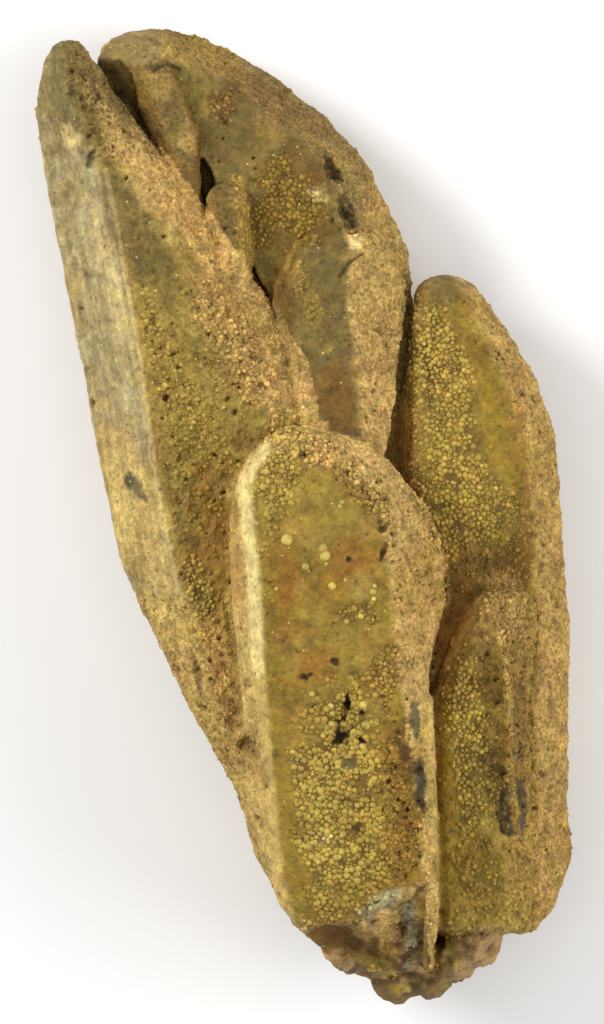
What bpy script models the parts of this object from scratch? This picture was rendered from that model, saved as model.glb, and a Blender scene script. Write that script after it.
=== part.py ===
"""A cluster of grown-together crystals under a crust of small globules, lying on its back, with a
remnant of the rock that it grew on at its foot.

Sizes in the tables are millimetres on the front view, the one that looks straight down on the
cluster: "across" runs to the right from its left border, "down" runs from its top border to its
foot, and "height" is measured up from the surface that the cluster lies on.
"""

import math
import random

import bmesh
import bpy
from mathutils import Matrix, Vector
from mathutils.bvhtree import BVHTree

MM = 0.001

# The front view: the middle of the specimen, and how far off the eye is. A point that is nearer to
# the eye than the middle height is seen larger, so it is brought in by that much.
MIDDLE_ACROSS = 30.43
MIDDLE_DOWN = 51.97
MIDDLE_HEIGHT = 17.0
EYE_DISTANCE = 640.0

# Where the middle of the whole outline lies from the front view's middle, to the right and toward
# the tips.
OUTLINE_MIDDLE = (-0.04, 0.56)

EDGE_BEVEL = 0.45          # the crust rounds every crystal edge off by about this
BEVEL_FROM_ANGLE = 27.0    # degrees; blunter edges than this stay as they are
SEED = 11

# Each crystal is a six-sided prism that changes along its length. A row is one section:
# down, left edge, left ridge, right ridge, right edge, height of its front face.
# "left" and "right" are the tilts in degrees of the faces beside the front face, "front" is the
# front face's own tilt, "back" is the height of the back face at the first and last row, "inset"
# is the share of the width by which the back face is narrower on each side, and "reach" is how far
# the crust stands out past the left and the right edge.
CRYSTALS = {
    "left_blade": {
        "left": 50, "right": 40, "front": 5, "back": (10.0, 5.0), "inset": 0.22,
        "reach": (0.35, 0.0),
        "rows": (
            (4.1, 6.1, 6.7, 7.3, 7.8, 15.5),
            (5.6, 4.9, 6.6, 7.7, 9.2, 17.5),
            (8.2, 4.2, 7.0, 8.6, 10.9, 19.0),
            (11.5, 3.8, 7.9, 10.0, 13.2, 20.0),
            (16.0, 4.5, 9.8, 12.6, 16.6, 20.9),
            (22.0, 5.6, 11.8, 16.4, 21.2, 21.8),
            (30.0, 7.0, 13.3, 21.3, 26.7, 22.8),
            (36.5, 8.2, 14.2, 25.4, 30.5, 23.5),
            (41.0, 8.9, 14.9, 27.2, 31.4, 24.0),
            (48.0, 10.4, 15.8, 27.6, 31.2, 24.5),
            (57.0, 12.4, 17.6, 27.2, 30.5, 24.8),
            (66.0, 17.0, 20.6, 27.5, 30.0, 24.3),
            (78.0, 23.6, 25.5, 29.5, 31.0, 22.0),
        ),
    },
    "front_crystal": {
        "left": 55, "right": 48, "front": 2, "back": (16.0, 12.0), "inset": 0.10,
        "rows": (
            (42.9, 28.3, 29.2, 31.2, 32.4, 28.5),
            (44.3, 26.4, 27.9, 33.0, 36.2, 31.4),
            (46.9, 23.9, 26.0, 35.4, 39.6, 33.0),
            (50.5, 22.9, 25.6, 37.6, 42.8, 33.8),
            (54.5, 22.8, 25.7, 38.9, 44.3, 34.2),
            (60.0, 23.1, 26.2, 39.6, 44.5, 34.2),
            (65.5, 23.6, 26.8, 40.4, 43.2, 34.0),
            (71.0, 24.1, 27.3, 41.3, 42.8, 33.7),
            (80.0, 24.6, 28.1, 41.9, 43.0, 33.0),
            (86.0, 26.1, 28.5, 42.3, 43.5, 32.2),
            (90.5, 28.2, 29.5, 42.5, 43.7, 31.2),
            (94.2, 31.0, 31.8, 42.2, 43.4, 29.8),
            (97.2, 34.0, 34.6, 41.6, 42.8, 27.0),
        ),
    },
    "right_crystal": {
        "left": 72, "right": 50, "front": 4, "back": (7.0, 4.0), "inset": 0.16,
        "reach": (0.0, 0.25),
        "rows": (
            (27.7, 43.1, 43.6, 45.2, 45.8, 14.4),
            (28.7, 41.3, 42.4, 46.0, 47.3, 16.0),
            (32.2, 41.0, 42.0, 47.5, 49.9, 17.3),
            (38.0, 40.2, 41.9, 50.2, 53.4, 18.2),
            (44.0, 39.4, 41.9, 52.3, 55.3, 18.8),
            (52.0, 38.8, 42.1, 53.0, 56.0, 19.3),
            (61.0, 38.6, 42.4, 53.7, 56.7, 19.8),
            (72.0, 39.5, 43.2, 53.6, 56.6, 20.0),
            (80.0, 41.0, 44.4, 53.6, 56.6, 20.0),
            (85.5, 42.2, 45.2, 53.6, 57.0, 19.4),
            (90.5, 43.4, 46.0, 52.4, 55.4, 18.2),
            (93.2, 44.2, 46.6, 50.8, 53.2, 16.8),
        ),
    },
    "lower_right_crystal": {
        "left": 64, "right": 58, "front": 4, "back": (14.0, 10.0), "inset": 0.08,
        "rows": (
            (58.8, 48.8, 49.4, 50.9, 51.9, 22.6),
            (60.1, 47.4, 48.4, 51.2, 53.3, 24.2),
            (62.6, 45.8, 47.2, 50.6, 53.6, 25.2),
            (66.0, 44.2, 46.0, 50.3, 53.2, 25.8),
            (70.5, 42.7, 44.7, 50.6, 52.8, 26.2),
            (80.0, 42.3, 44.2, 50.9, 52.9, 26.2),
            (88.0, 42.6, 44.4, 51.3, 53.0, 25.6),
            (93.1, 43.2, 44.6, 51.6, 53.0, 24.8),
        ),
    },
    "middle_crystal": {
        "left": 56, "right": 42, "front": -4, "back": (9.0, 6.0), "inset": 0.14,
        "rows": (
            (23.7, 30.8, 31.4, 34.4, 35.8, 17.2),
            (25.0, 29.0, 30.4, 35.6, 38.6, 18.8),
            (28.4, 27.4, 29.4, 34.9, 40.9, 19.8),
            (33.0, 26.9, 29.4, 35.1, 40.7, 20.6),
            (38.5, 26.8, 30.0, 35.7, 39.6, 21.2),
            (46.0, 26.8, 30.6, 36.1, 38.5, 21.8),
            (62.0, 27.5, 31.0, 36.5, 38.5, 21.5),
        ),
    },
    "back_crystal": {
        "left": 34, "right": 46, "front": 3, "back": (3.5, 2.0), "inset": 0.16,
        "reach": (0.0, 0.25),
        "rows": (
            (3.2, 12.9, 13.9, 15.2, 16.6, 9.5),
            (4.2, 10.4, 13.4, 17.0, 20.6, 12.0),
            (6.0, 9.6, 14.8, 19.0, 24.6, 13.8),
            (8.4, 9.6, 16.0, 22.0, 28.4, 14.9),
            (11.6, 10.0, 17.2, 26.6, 32.4, 15.6),
            (15.6, 11.0, 18.2, 30.6, 36.0, 16.0),
            (20.2, 12.0, 19.2, 33.4, 38.4, 16.3),
            (25.2, 13.0, 20.0, 35.4, 40.8, 16.5),
            (28.4, 14.0, 21.0, 36.2, 41.1, 16.5),
            (34.0, 15.4, 22.4, 36.0, 42.0, 16.2),
            (44.0, 18.0, 25.0, 35.8, 42.6, 15.6),
            (61.0, 22.6, 28.4, 35.4, 42.0, 14.4),
        ),
    },
    "slender_crystal": {
        "left": 60, "right": 62, "front": 2, "back": (12.5, 12.5), "inset": 0.05,
        "rows": (
            (5.9, 13.6, 14.6, 16.1, 16.6, 16.2),
            (7.4, 13.0, 14.4, 16.8, 17.3, 17.4),
            (11.0, 13.9, 15.6, 18.2, 18.8, 18.0),
            (15.2, 15.9, 17.2, 19.3, 19.8, 18.2),
            (19.2, 17.1, 18.0, 19.5, 20.0, 18.0),
            (25.0, 18.6, 19.2, 20.6, 21.2, 17.6),
        ),
    },
    "small_crystal": {
        "left": 52, "right": 60, "front": -6, "back": (13.0, 13.0), "inset": 0.05,
        "rows": (
            (18.3, 21.9, 22.4, 23.1, 23.6, 17.8),
            (19.4, 20.5, 21.4, 23.7, 24.4, 18.9),
            (22.4, 20.9, 21.9, 23.9, 24.9, 19.3),
            (26.0, 21.6, 22.5, 24.1, 25.0, 19.3),
            (32.0, 23.2, 23.8, 24.8, 25.4, 18.8),
        ),
    },
    "left_foot": {
        "left": 52, "right": 30, "front": 10, "back": (9.0, 6.0), "inset": 0.18,
        "reach": (0.3, 0.0),
        "rows": (
            (57.0, 12.9, 15.6, 19.4, 22.4, 20.6),
            (60.3, 14.5, 17.4, 21.4, 25.4, 23.0),
            (63.8, 15.9, 19.0, 22.8, 27.4, 24.8),
            (66.2, 17.2, 20.2, 23.8, 28.6, 25.8),
            (70.5, 19.0, 21.8, 25.0, 30.4, 26.8),
            (76.0, 22.0, 24.0, 26.8, 31.4, 27.0),
            (79.4, 24.1, 25.4, 28.2, 32.4, 26.6),
            (86.0, 26.0, 27.4, 30.5, 34.4, 25.0),
            (93.0, 29.8, 31.6, 35.0, 38.4, 22.4),
        ),
    },
    "long_back_crystal": {
        "left": 48, "right": 48, "front": 0, "back": (0.0, 0.0), "inset": 0.10,
        "rows": (
            (15.0, 18.2, 19.6, 21.8, 23.0, 3.6),
            (18.0, 15.6, 18.0, 24.6, 27.0, 6.6),
            (24.0, 13.6, 16.8, 28.2, 31.6, 9.0),
            (44.0, 15.6, 19.0, 31.0, 34.6, 11.0),
            (70.0, 21.6, 25.0, 36.6, 40.2, 13.0),
            (92.0, 29.0, 32.2, 42.4, 45.6, 14.0),
        ),
    },
    "short_back_crystal": {
        "left": 40, "right": 44, "front": 0, "back": (1.4, 0.9), "inset": 0.14,
        "rows": (
            (24.5, 33.0, 34.0, 36.6, 37.6, 4.6),
            (27.4, 31.2, 33.0, 38.4, 40.2, 7.0),
            (36.0, 31.4, 33.6, 40.0, 42.2, 8.8),
            (60.0, 34.0, 36.2, 42.8, 45.0, 10.8),
            (86.0, 37.0, 39.2, 44.4, 46.6, 11.0),
        ),
    },
    "left_back_crystal": {
        "left": 44, "right": 50, "front": 0, "back": (2.6, 1.8), "inset": 0.16,
        "rows": (
            (50.6, 15.0, 16.0, 18.0, 19.0, 7.4),
            (53.4, 14.4, 16.6, 20.6, 22.4, 10.4),
            (60.0, 15.6, 18.4, 24.0, 26.4, 12.6),
            (72.0, 20.6, 23.4, 28.6, 31.0, 14.0),
            (88.0, 27.4, 30.0, 34.6, 37.0, 14.0),
        ),
    },
    "right_back_crystal": {
        "left": 50, "right": 52, "front": 0, "back": (0.0, 0.0), "inset": 0.12,
        "rows": (
            (43.0, 43.8, 45.0, 48.4, 49.4, 3.4),
            (46.0, 41.6, 43.8, 50.4, 52.2, 6.4),
            (54.0, 40.0, 42.6, 52.0, 54.4, 8.6),
            (78.0, 41.0, 43.8, 51.8, 54.2, 10.0),
            (91.0, 43.0, 45.4, 49.6, 51.8, 10.0),
        ),
    },
}

# Narrow blades of crust along the front crystal's and the lower right crystal's edges.
CRUST_BLADES = {
    "front_crystal_blade": {
        "left": 62, "right": 66, "front": 0, "back": (22.0, 22.0), "inset": 0.02,
        "rows": (
            (69.4, 42.2, 42.5, 42.8, 43.1, 31.6),
            (74.0, 42.3, 42.6, 43.1, 43.4, 32.8),
            (80.0, 42.4, 42.8, 43.2, 43.5, 32.9),
            (85.0, 42.7, 43.0, 43.4, 43.8, 32.3),
            (90.0, 42.6, 43.0, 43.6, 44.0, 31.4),
            (97.0, 42.3, 42.7, 43.2, 43.5, 28.6),
        ),
    },
    "lower_right_blade": {
        "left": 60, "right": 60, "front": 0, "back": (20.0, 20.0), "inset": 0.02,
        "rows": (
            (65.4, 49.9, 50.1, 50.4, 50.6, 26.2),
            (68.0, 50.2, 50.5, 50.9, 51.2, 27.0),
            (74.0, 50.4, 50.8, 51.2, 51.5, 26.9),
            (80.4, 50.4, 50.8, 51.1, 51.4, 26.3),
        ),
    },
}

# Deep recesses of the back crystal, as rows of the same form but cut away from it: down, left,
# right, height of the floor.
BACK_RECESSES = {
    "recess_beside_tip": (
        (6.0, 10.6, 12.2, 11.2),
        (9.5, 11.6, 14.3, 10.6),
        (12.5, 13.4, 15.9, 10.6),
        (16.0, 16.2, 17.4, 11.8),
    ),
    "recess_above_small_crystal": (
        (15.6, 19.7, 20.3, 13.0),
        (17.4, 19.8, 21.2, 11.8),
        (20.4, 20.4, 22.0, 11.6),
        (27.0, 24.4, 25.5, 12.0),
        (30.5, 26.2, 27.4, 12.4),
    ),
    "recess_on_right_shoulder": (
        (19.4, 33.6, 34.4, 15.0),
        (21.6, 33.9, 35.7, 14.0),
        (23.6, 34.6, 36.0, 14.4),
    ),
}

# Where the front crystal broke off: three points of the break as across, down, height.
FRONT_BREAK = ((29.8, 93.9, 30.6), (42.9, 87.9, 32.2), (36.0, 97.6, 21.5))
FRONT_BREAK_SCOOP = {"middle": (34.6, 95.8, 30.6), "radii": (5.0, 3.2, 6.2), "turn": -18.0}

# Lumps of the rock at the foot: across, down, height, three radii, how uneven.
ROCK_LUMPS = (
    (39.6, 93.2, 20.4, 4.4, 4.6, 6.6, 0.10),
    (41.6, 90.0, 24.4, 2.6, 2.6, 5.0, 0.10),
    (43.6, 92.6, 9.6, 6.8, 4.2, 6.0, 0.10),
    (46.7, 93.1, 14.6, 3.9, 3.9, 6.2, 0.12),
    (45.0, 95.7, 15.2, 2.8, 2.5, 4.6, 0.12),
    (42.9, 97.5, 13.8, 2.7, 2.2, 4.4, 0.12),
    (39.9, 97.8, 13.0, 2.7, 2.4, 4.6, 0.12),
    (41.2, 95.9, 12.6, 4.6, 2.9, 5.6, 0.10),
    (37.2, 96.1, 17.2, 2.4, 1.7, 4.0, 0.12),
    (37.4, 96.3, 21.0, 2.2, 1.3, 3.0, 0.08),
    (34.3, 95.8, 17.4, 1.4, 1.0, 4.0, 0.08),
)
LUMP_TURN = 10.0           # degrees either way

# Pits in the crust: across, down, radius across, radius down, depth.
PITS = (
    (34.9, 71.6, 0.9, 1.9, 0.9),
    (34.2, 74.2, 0.7, 0.9, 0.7),
    (41.0, 72.4, 0.5, 1.9, 0.5),
    (41.4, 77.0, 0.6, 2.4, 0.5),
    (30.3, 45.7, 0.45, 0.4, 0.4),
    (26.8, 46.5, 0.4, 0.4, 0.4),
    (38.3, 52.7, 0.5, 0.45, 0.5),
    (38.2, 55.3, 0.3, 0.8, 0.4),
    (38.4, 58.8, 0.35, 0.35, 0.4),
    (30.3, 67.7, 0.7, 0.25, 0.3),
    (33.2, 66.1, 0.3, 0.25, 0.3),
    (16.2, 34.5, 0.6, 0.6, 0.4),
    (15.6, 31.4, 0.35, 0.4, 0.35),
    (20.9, 31.5, 0.5, 0.45, 0.45),
    (22.6, 33.4, 0.6, 0.5, 0.5),
    (21.4, 36.6, 0.5, 0.5, 0.45),
    (24.2, 36.2, 0.5, 0.5, 0.45),
    (25.9, 38.6, 0.5, 0.6, 0.5),
    (23.1, 40.2, 0.45, 0.4, 0.4),
    (20.0, 42.0, 0.4, 0.4, 0.4),
    (22.4, 44.6, 0.4, 0.5, 0.4),
    (13.4, 48.6, 0.8, 1.7, 0.35),
    (24.5, 74.6, 0.9, 0.8, 0.8),
    (19.7, 67.2, 0.4, 1.6, 0.5),
    (9.2, 15.7, 0.7, 1.2, 0.4),
    (7.0, 13.7, 0.9, 1.3, 0.35),
    (33.2, 17.0, 0.8, 1.2, 0.7),
    (50.6, 81.7, 0.7, 2.2, 0.5),
    (52.2, 80.4, 0.5, 2.6, 0.4),
    (51.4, 70.0, 0.4, 1.0, 0.4),
    (43.8, 94.0, 0.5, 2.4, 0.8),
    (33.8, 39.4, 1.9, 1.4, 0.5),
    (44.6, 84.0, 0.35, 1.2, 0.5),
)

# Large single globules: across, down, radius.
SINGLE_GLOBULES = (
    (28.7, 54.0, 0.52),
    (32.3, 55.1, 0.66),
    (30.6, 56.7, 0.42),
    (33.2, 58.6, 0.38),
    (34.3, 50.3, 0.34),
    (37.3, 59.3, 0.40),
    (34.8, 62.4, 0.34),
    (36.0, 61.7, 0.36),
    (37.4, 61.2, 0.34),
    (33.8, 69.6, 0.50),
    (36.3, 70.4, 0.46),
    (36.6, 72.6, 0.50),
    (33.2, 72.4, 0.46),
    (33.4, 74.9, 0.44),
    (35.9, 74.6, 0.50),
)

# Patches strewn with globules: across, down, half width, half length, lean, count.
GLOBULE_PATCHES = (
    (28.6, 46.6, 2.6, 3.0, 20.0, 12),
    (35.0, 81.6, 4.8, 8.4, 8.0, 36),
    (44.6, 36.4, 2.2, 5.2, 12.0, 14),
    (46.6, 49.4, 4.4, 5.2, 10.0, 26),
    (47.0, 74.4, 2.2, 6.8, 2.0, 16),
    (28.4, 20.2, 2.6, 3.8, 10.0, 9),
    (22.8, 11.0, 1.3, 1.5, 0.0, 4),
    (20.0, 59.0, 1.0, 2.8, 14.0, 6),
)
PATCH_GLOBULE_RADII = (0.32, 0.56)
GLOBULE_SINK = 0.35        # share of its radius by which a globule's middle lies in the crust


def seen_at(across, down, height):
    """The point at this height that the front view shows at this place, in metres."""
    nearer = (height - MIDDLE_HEIGHT) / EYE_DISTANCE
    x = (across - MIDDLE_ACROSS) * (1.0 - nearer)
    y = (MIDDLE_DOWN - down) * (1.0 - nearer)
    return Vector((x, y, height)) * MM


def clear_scene():
    for found in list(bpy.data.objects):
        bpy.data.objects.remove(found, do_unlink=True)


def new_collection(name):
    collection = bpy.data.collections.new(name)
    bpy.context.scene.collection.children.link(collection)
    return collection


def crust_material():
    """Dull ochre crust."""
    material = bpy.data.materials.new("ochre_crust")
    material.use_nodes = True
    shader = material.node_tree.nodes["Principled BSDF"]
    shader.inputs["Base Color"].default_value = (0.33, 0.23, 0.075, 1.0)
    shader.inputs["Roughness"].default_value = 0.8
    shader.inputs["Metallic"].default_value = 0.0
    return material


def helper_from(builder, name, collection):
    """A hidden object made from a bmesh, with its faces turned outwards."""
    bmesh.ops.recalc_face_normals(builder, faces=builder.faces)
    mesh = bpy.data.meshes.new(name)
    builder.to_mesh(mesh)
    builder.free()
    made = bpy.data.objects.new(name, mesh)
    made.hide_render = True
    made.display_type = "WIRE"
    collection.objects.link(made)
    return made


def bevel_edges(made):
    bevel = made.modifiers.new("crust_rounds_edges", "BEVEL")
    bevel.width = EDGE_BEVEL * MM
    bevel.segments = 1
    bevel.limit_method = "ANGLE"
    bevel.angle_limit = math.radians(BEVEL_FROM_ANGLE)


def boolean(target, name, operation, other=None, collection=None):
    """A Boolean on the target, with one other object or with a whole collection."""
    modifier = target.modifiers.new(name, "BOOLEAN")
    modifier.operation = operation
    modifier.solver = "EXACT"
    if collection is not None:
        modifier.operand_type = "COLLECTION"
        modifier.collection = collection
    else:
        modifier.object = other


def loft(sections):
    """A closed solid through rings of corners, as a bmesh."""
    builder = bmesh.new()
    rings = []
    for corners in sections:
        ring = [builder.verts.new(corner) for corner in corners]
        closed = zip(ring, ring[1:] + ring[:1])
        rings.append([builder.edges.new(pair) for pair in closed])
    for ring, following in zip(rings, rings[1:]):
        bmesh.ops.bridge_loops(builder, edges=ring + following)
    bmesh.ops.holes_fill(builder, edges=rings[0] + rings[-1])
    return builder


def prism_section(row, shape, share):
    """The six corners of a crystal's section at one row, going round it."""
    down, left, left_ridge, right_ridge, right, height = row
    left_reach, right_reach = shape.get("reach", (0.0, 0.0))
    left -= left_reach
    right += right_reach
    first_back, last_back = shape["back"]
    right_height = height - (right_ridge - left_ridge) * math.tan(math.radians(shape["front"]))
    left_edge = height - (left_ridge - left) * math.tan(math.radians(shape["left"]))
    right_edge = right_height - (right - right_ridge) * math.tan(math.radians(shape["right"]))
    inset = (right - left) * shape["inset"]
    side_length = 0.25 * (right - left)
    back = first_back + (last_back - first_back) * share
    back = max(min(back, min(left_edge, right_edge) - side_length), 0.0)
    return (
        seen_at(left, down, left_edge),
        seen_at(left_ridge, down, height),
        seen_at(right_ridge, down, right_height),
        seen_at(right, down, right_edge),
        seen_at(right - inset, down, back),
        seen_at(left + inset, down, back),
    )


def crystal(name, shape, collection):
    """A six-sided prism lofted through its sections, with bevelled edges."""
    rows = shape["rows"]
    length = rows[-1][0] - rows[0][0]
    sections = [prism_section(row, shape, (row[0] - rows[0][0]) / length) for row in rows]
    made = helper_from(loft(sections), name, collection)
    bevel_edges(made)
    return made


def recess_cutter(name, rows, collection):
    """A trough that opens upwards and is narrower at its floor."""
    top = 24.0
    flare = 0.5
    sections = []
    for down, left, right, floor in rows:
        sections.append((
            seen_at(left, down, floor),
            seen_at(left - flare, down, top),
            seen_at(right + flare, down, top),
            seen_at(right, down, floor),
        ))
    return helper_from(loft(sections), name, collection)


def break_cutter(collection):
    """A block that takes off all that lies beyond the plane of the break."""
    size = 40.0 * MM
    corners = [seen_at(*corner) for corner in FRONT_BREAK]
    normal = (corners[1] - corners[0]).cross(corners[2] - corners[0]).normalized()
    if normal.y > 0.0:
        normal = -normal
    middle = sum(corners, Vector()) / len(corners)
    turn = normal.to_track_quat("Z", "Y").to_matrix().to_4x4()
    place = Matrix.Translation(middle + normal * size / 2.0) @ turn
    builder = bmesh.new()
    bmesh.ops.create_cube(builder, size=size, matrix=place)
    return helper_from(builder, "break_plane", collection)


def ellipsoid(middle, radii, turn=0.0, detail=2):
    """A faceted ellipsoid turned about the vertical, as a bmesh."""
    place = Matrix.Translation(middle) @ Matrix.Rotation(math.radians(turn), 4, "Z")
    stretch = Matrix.Diagonal((*[radius * MM for radius in radii], 1.0))
    builder = bmesh.new()
    bmesh.ops.create_icosphere(builder, subdivisions=detail, radius=1.0, matrix=place @ stretch)
    return builder


def scoop_cutter(collection):
    middle = seen_at(*FRONT_BREAK_SCOOP["middle"])
    builder = ellipsoid(middle, FRONT_BREAK_SCOOP["radii"], FRONT_BREAK_SCOOP["turn"])
    return helper_from(builder, "break_scoop", collection)


def rock_lump(number, row, collection, chance):
    """An uneven lump of the rock that the cluster grew on."""
    across, down, height, *radii, unevenness = row
    middle = seen_at(across, down, height)
    builder = ellipsoid(middle, radii, chance.uniform(-LUMP_TURN, LUMP_TURN))
    for vert in builder.verts:
        share = 1.0 + chance.uniform(-unevenness, unevenness)
        vert.co = middle + (vert.co - middle) * share
    return helper_from(builder, f"rock_lump_{number}", collection)


def surface_of(made):
    """A search tree of the object's finished surface, modifiers included."""
    return BVHTree.FromObject(made, bpy.context.evaluated_depsgraph_get())


def surface_seen_at(tree, across, down):
    """The point of the surface, and its normal, that the front view shows at this place."""
    eye = Vector((0.0, 0.0, MIDDLE_HEIGHT + EYE_DISTANCE)) * MM
    toward = seen_at(across, down, MIDDLE_HEIGHT) - eye
    point, normal, _, _ = tree.ray_cast(eye, toward.normalized())
    return point, normal


def pit_cutter(number, row, tree, collection):
    """A shallow faceted hollow sunk square to the surface."""
    across, down, half_width, half_length, depth = row
    point, normal = surface_seen_at(tree, across, down)
    turn = normal.to_track_quat("Z", "Y").to_matrix().to_4x4()
    stretch = Matrix.Diagonal((half_width * MM, half_length * MM, depth * MM, 1.0))
    builder = bmesh.new()
    bmesh.ops.create_icosphere(builder, subdivisions=1, radius=1.0,
                               matrix=Matrix.Translation(point) @ turn @ stretch)
    return helper_from(builder, f"pit_{number}", collection)


def globule(number, place, radius, tree, collection, chance):
    """A ball half sunk in the crust."""
    point, normal = surface_seen_at(tree, *place)
    middle = point - normal * GLOBULE_SINK * radius * MM
    builder = bmesh.new()
    spin = Matrix.Rotation(chance.uniform(0.0, math.tau), 4, normal)
    bmesh.ops.create_icosphere(builder, subdivisions=1, radius=radius * MM,
                               matrix=Matrix.Translation(middle) @ spin)
    return helper_from(builder, f"globule_{number}", collection)


def strewn_places(patch, chance, taken):
    """Places in a leaning oval patch, none of which crowds one that is taken."""
    across, down, half_width, half_length, lean, count = patch
    smallest, largest = PATCH_GLOBULE_RADII
    lean = math.radians(lean)
    places = []
    tries = 0
    while len(places) < count and tries < 60 * count:
        tries += 1
        angle = chance.uniform(0.0, math.tau)
        reach = math.sqrt(chance.random())
        u = half_width * reach * math.cos(angle)
        v = half_length * reach * math.sin(angle)
        x = across + u * math.cos(lean) + v * math.sin(lean)
        y = down - u * math.sin(lean) + v * math.cos(lean)
        radius = chance.uniform(smallest, largest)
        if all(math.hypot(x - a, y - b) > 1.15 * (radius + r) for a, b, r in taken):
            taken.append((x, y, radius))
            places.append((x, y, radius))
    return places


def grow_crystals(specimen):
    """The crystals, fused into one solid."""
    helpers = new_collection("crystals_to_join")
    cutters = new_collection("recesses_to_cut")
    for name, shape in {**CRYSTALS, **CRUST_BLADES}.items():
        crystal(name, shape, helpers)
    back = bpy.data.objects["back_crystal"]
    for name, rows in BACK_RECESSES.items():
        boolean(back, name, "DIFFERENCE", recess_cutter(name, rows, cutters))
    front = bpy.data.objects["front_crystal"]
    boolean(front, "break_plane", "DIFFERENCE", break_cutter(cutters))
    boolean(front, "break_scoop", "DIFFERENCE", scoop_cutter(cutters))
    cluster = bpy.data.objects["left_blade"]
    helpers.objects.unlink(cluster)
    specimen.objects.link(cluster)
    cluster.name = "crystal_cluster"
    cluster.hide_render = False
    cluster.display_type = "TEXTURED"
    cluster.data.materials.append(crust_material())
    boolean(cluster, "grown_together", "UNION", collection=helpers)
    return cluster


def add_rock(cluster, chance):
    """The remnant of rock at the foot, fused to the crystals."""
    lumps = new_collection("rock_lumps")
    for number, row in enumerate(ROCK_LUMPS):
        rock_lump(number, row, lumps, chance)
    boolean(cluster, "rock_at_foot", "UNION", collection=lumps)


def cut_pits(cluster):
    pits = new_collection("pits")
    tree = surface_of(cluster)
    for number, row in enumerate(PITS):
        pit_cutter(number, row, tree, pits)
    boolean(cluster, "pits", "DIFFERENCE", collection=pits)


def strew_globules(cluster, chance):
    """The larger globules of the crust, fused to it."""
    globules = new_collection("globules")
    tree = surface_of(cluster)
    places = list(SINGLE_GLOBULES)
    taken = list(SINGLE_GLOBULES)
    for patch in GLOBULE_PATCHES:
        places += strewn_places(patch, chance, taken)
    for number, (across, down, radius) in enumerate(places):
        globule(number, (across, down), radius, tree, globules, chance)
    boolean(cluster, "globules", "UNION", collection=globules)


def centre_outline():
    """Moves all of it so that the middle of the outline lies over the origin."""
    right, along = OUTLINE_MIDDLE
    for made in bpy.data.objects:
        made.location = (-right * MM, -along * MM, 0.0)


def main():
    clear_scene()
    chance = random.Random(SEED)
    specimen = new_collection("vanadinite_specimen")
    cluster = grow_crystals(specimen)
    add_rock(cluster, chance)
    cut_pits(cluster)
    strew_globules(cluster, chance)
    centre_outline()


main()
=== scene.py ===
"""Dresses the vanadinite specimen: a cluster of grown-together crystals under an ochre crust.

Sizes in the tables are millimetres on the front view, which looks straight down on the specimen:
"across" runs to the right and "down" runs from its top border to its foot.
"""

import logging
import math
from dataclasses import dataclass, field
from enum import Enum
from typing import Any

import bmesh
import bpy
import numpy as np
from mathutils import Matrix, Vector
from mathutils.bvhtree import BVHTree

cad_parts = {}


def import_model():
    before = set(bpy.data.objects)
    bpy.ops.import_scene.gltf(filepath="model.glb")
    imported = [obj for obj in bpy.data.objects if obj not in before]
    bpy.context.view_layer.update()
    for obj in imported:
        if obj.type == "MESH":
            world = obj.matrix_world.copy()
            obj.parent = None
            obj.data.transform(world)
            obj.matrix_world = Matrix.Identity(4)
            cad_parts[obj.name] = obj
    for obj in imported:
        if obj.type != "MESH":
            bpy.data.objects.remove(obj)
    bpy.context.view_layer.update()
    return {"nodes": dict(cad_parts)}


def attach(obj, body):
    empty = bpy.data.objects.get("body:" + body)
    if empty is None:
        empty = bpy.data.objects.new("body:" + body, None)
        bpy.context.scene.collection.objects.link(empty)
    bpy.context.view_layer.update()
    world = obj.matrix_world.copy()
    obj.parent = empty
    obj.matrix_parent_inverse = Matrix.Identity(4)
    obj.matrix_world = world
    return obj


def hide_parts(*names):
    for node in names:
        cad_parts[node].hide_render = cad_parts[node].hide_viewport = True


MM = 0.001
LOG = logging.getLogger("vanadinite_specimen")
NODE = "crystal_cluster"
BODY = "root"

Array = np.ndarray
Socket = bpy.types.NodeSocket
# What feeds a node's input: another node's output, or a number.
Feed = Socket | float


@dataclass(frozen=True)
class FrontView:
    """The front view's own coordinates, and how they lie in the row's frame.

    A point nearer to the eye than the middle height is seen larger.
    """

    middle_across: float = 30.39
    middle_down: float = 51.41
    middle_height: float = 17.0
    eye_distance: float = 640.0

    def places(self, points: Array) -> tuple[Array, Array]:
        """Where the front view shows these points.

        Args:
            points: Positions in metres, one row each.

        Returns:
            Across and down, in millimetres.
        """
        inner = points / MM
        nearer = (inner[:, 2] - self.middle_height) / self.eye_distance
        across = self.middle_across + inner[:, 0] / (1.0 - nearer)
        down = self.middle_down - inner[:, 1] / (1.0 - nearer)
        return across, down

    def ray(self, across: float, down: float) -> tuple[Vector, Vector]:
        """The eye, and the direction in which it sees this place.

        Args:
            across: The place across, in millimetres.
            down: The place down, in millimetres.

        Returns:
            The eye's position in metres, and a direction of length 1.
        """
        eye = Vector((0.0, 0.0, self.middle_height + self.eye_distance)) * MM
        seen = Vector((across - self.middle_across, self.middle_down - down, self.middle_height)) * MM
        return eye, (seen - eye).normalized()


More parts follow.
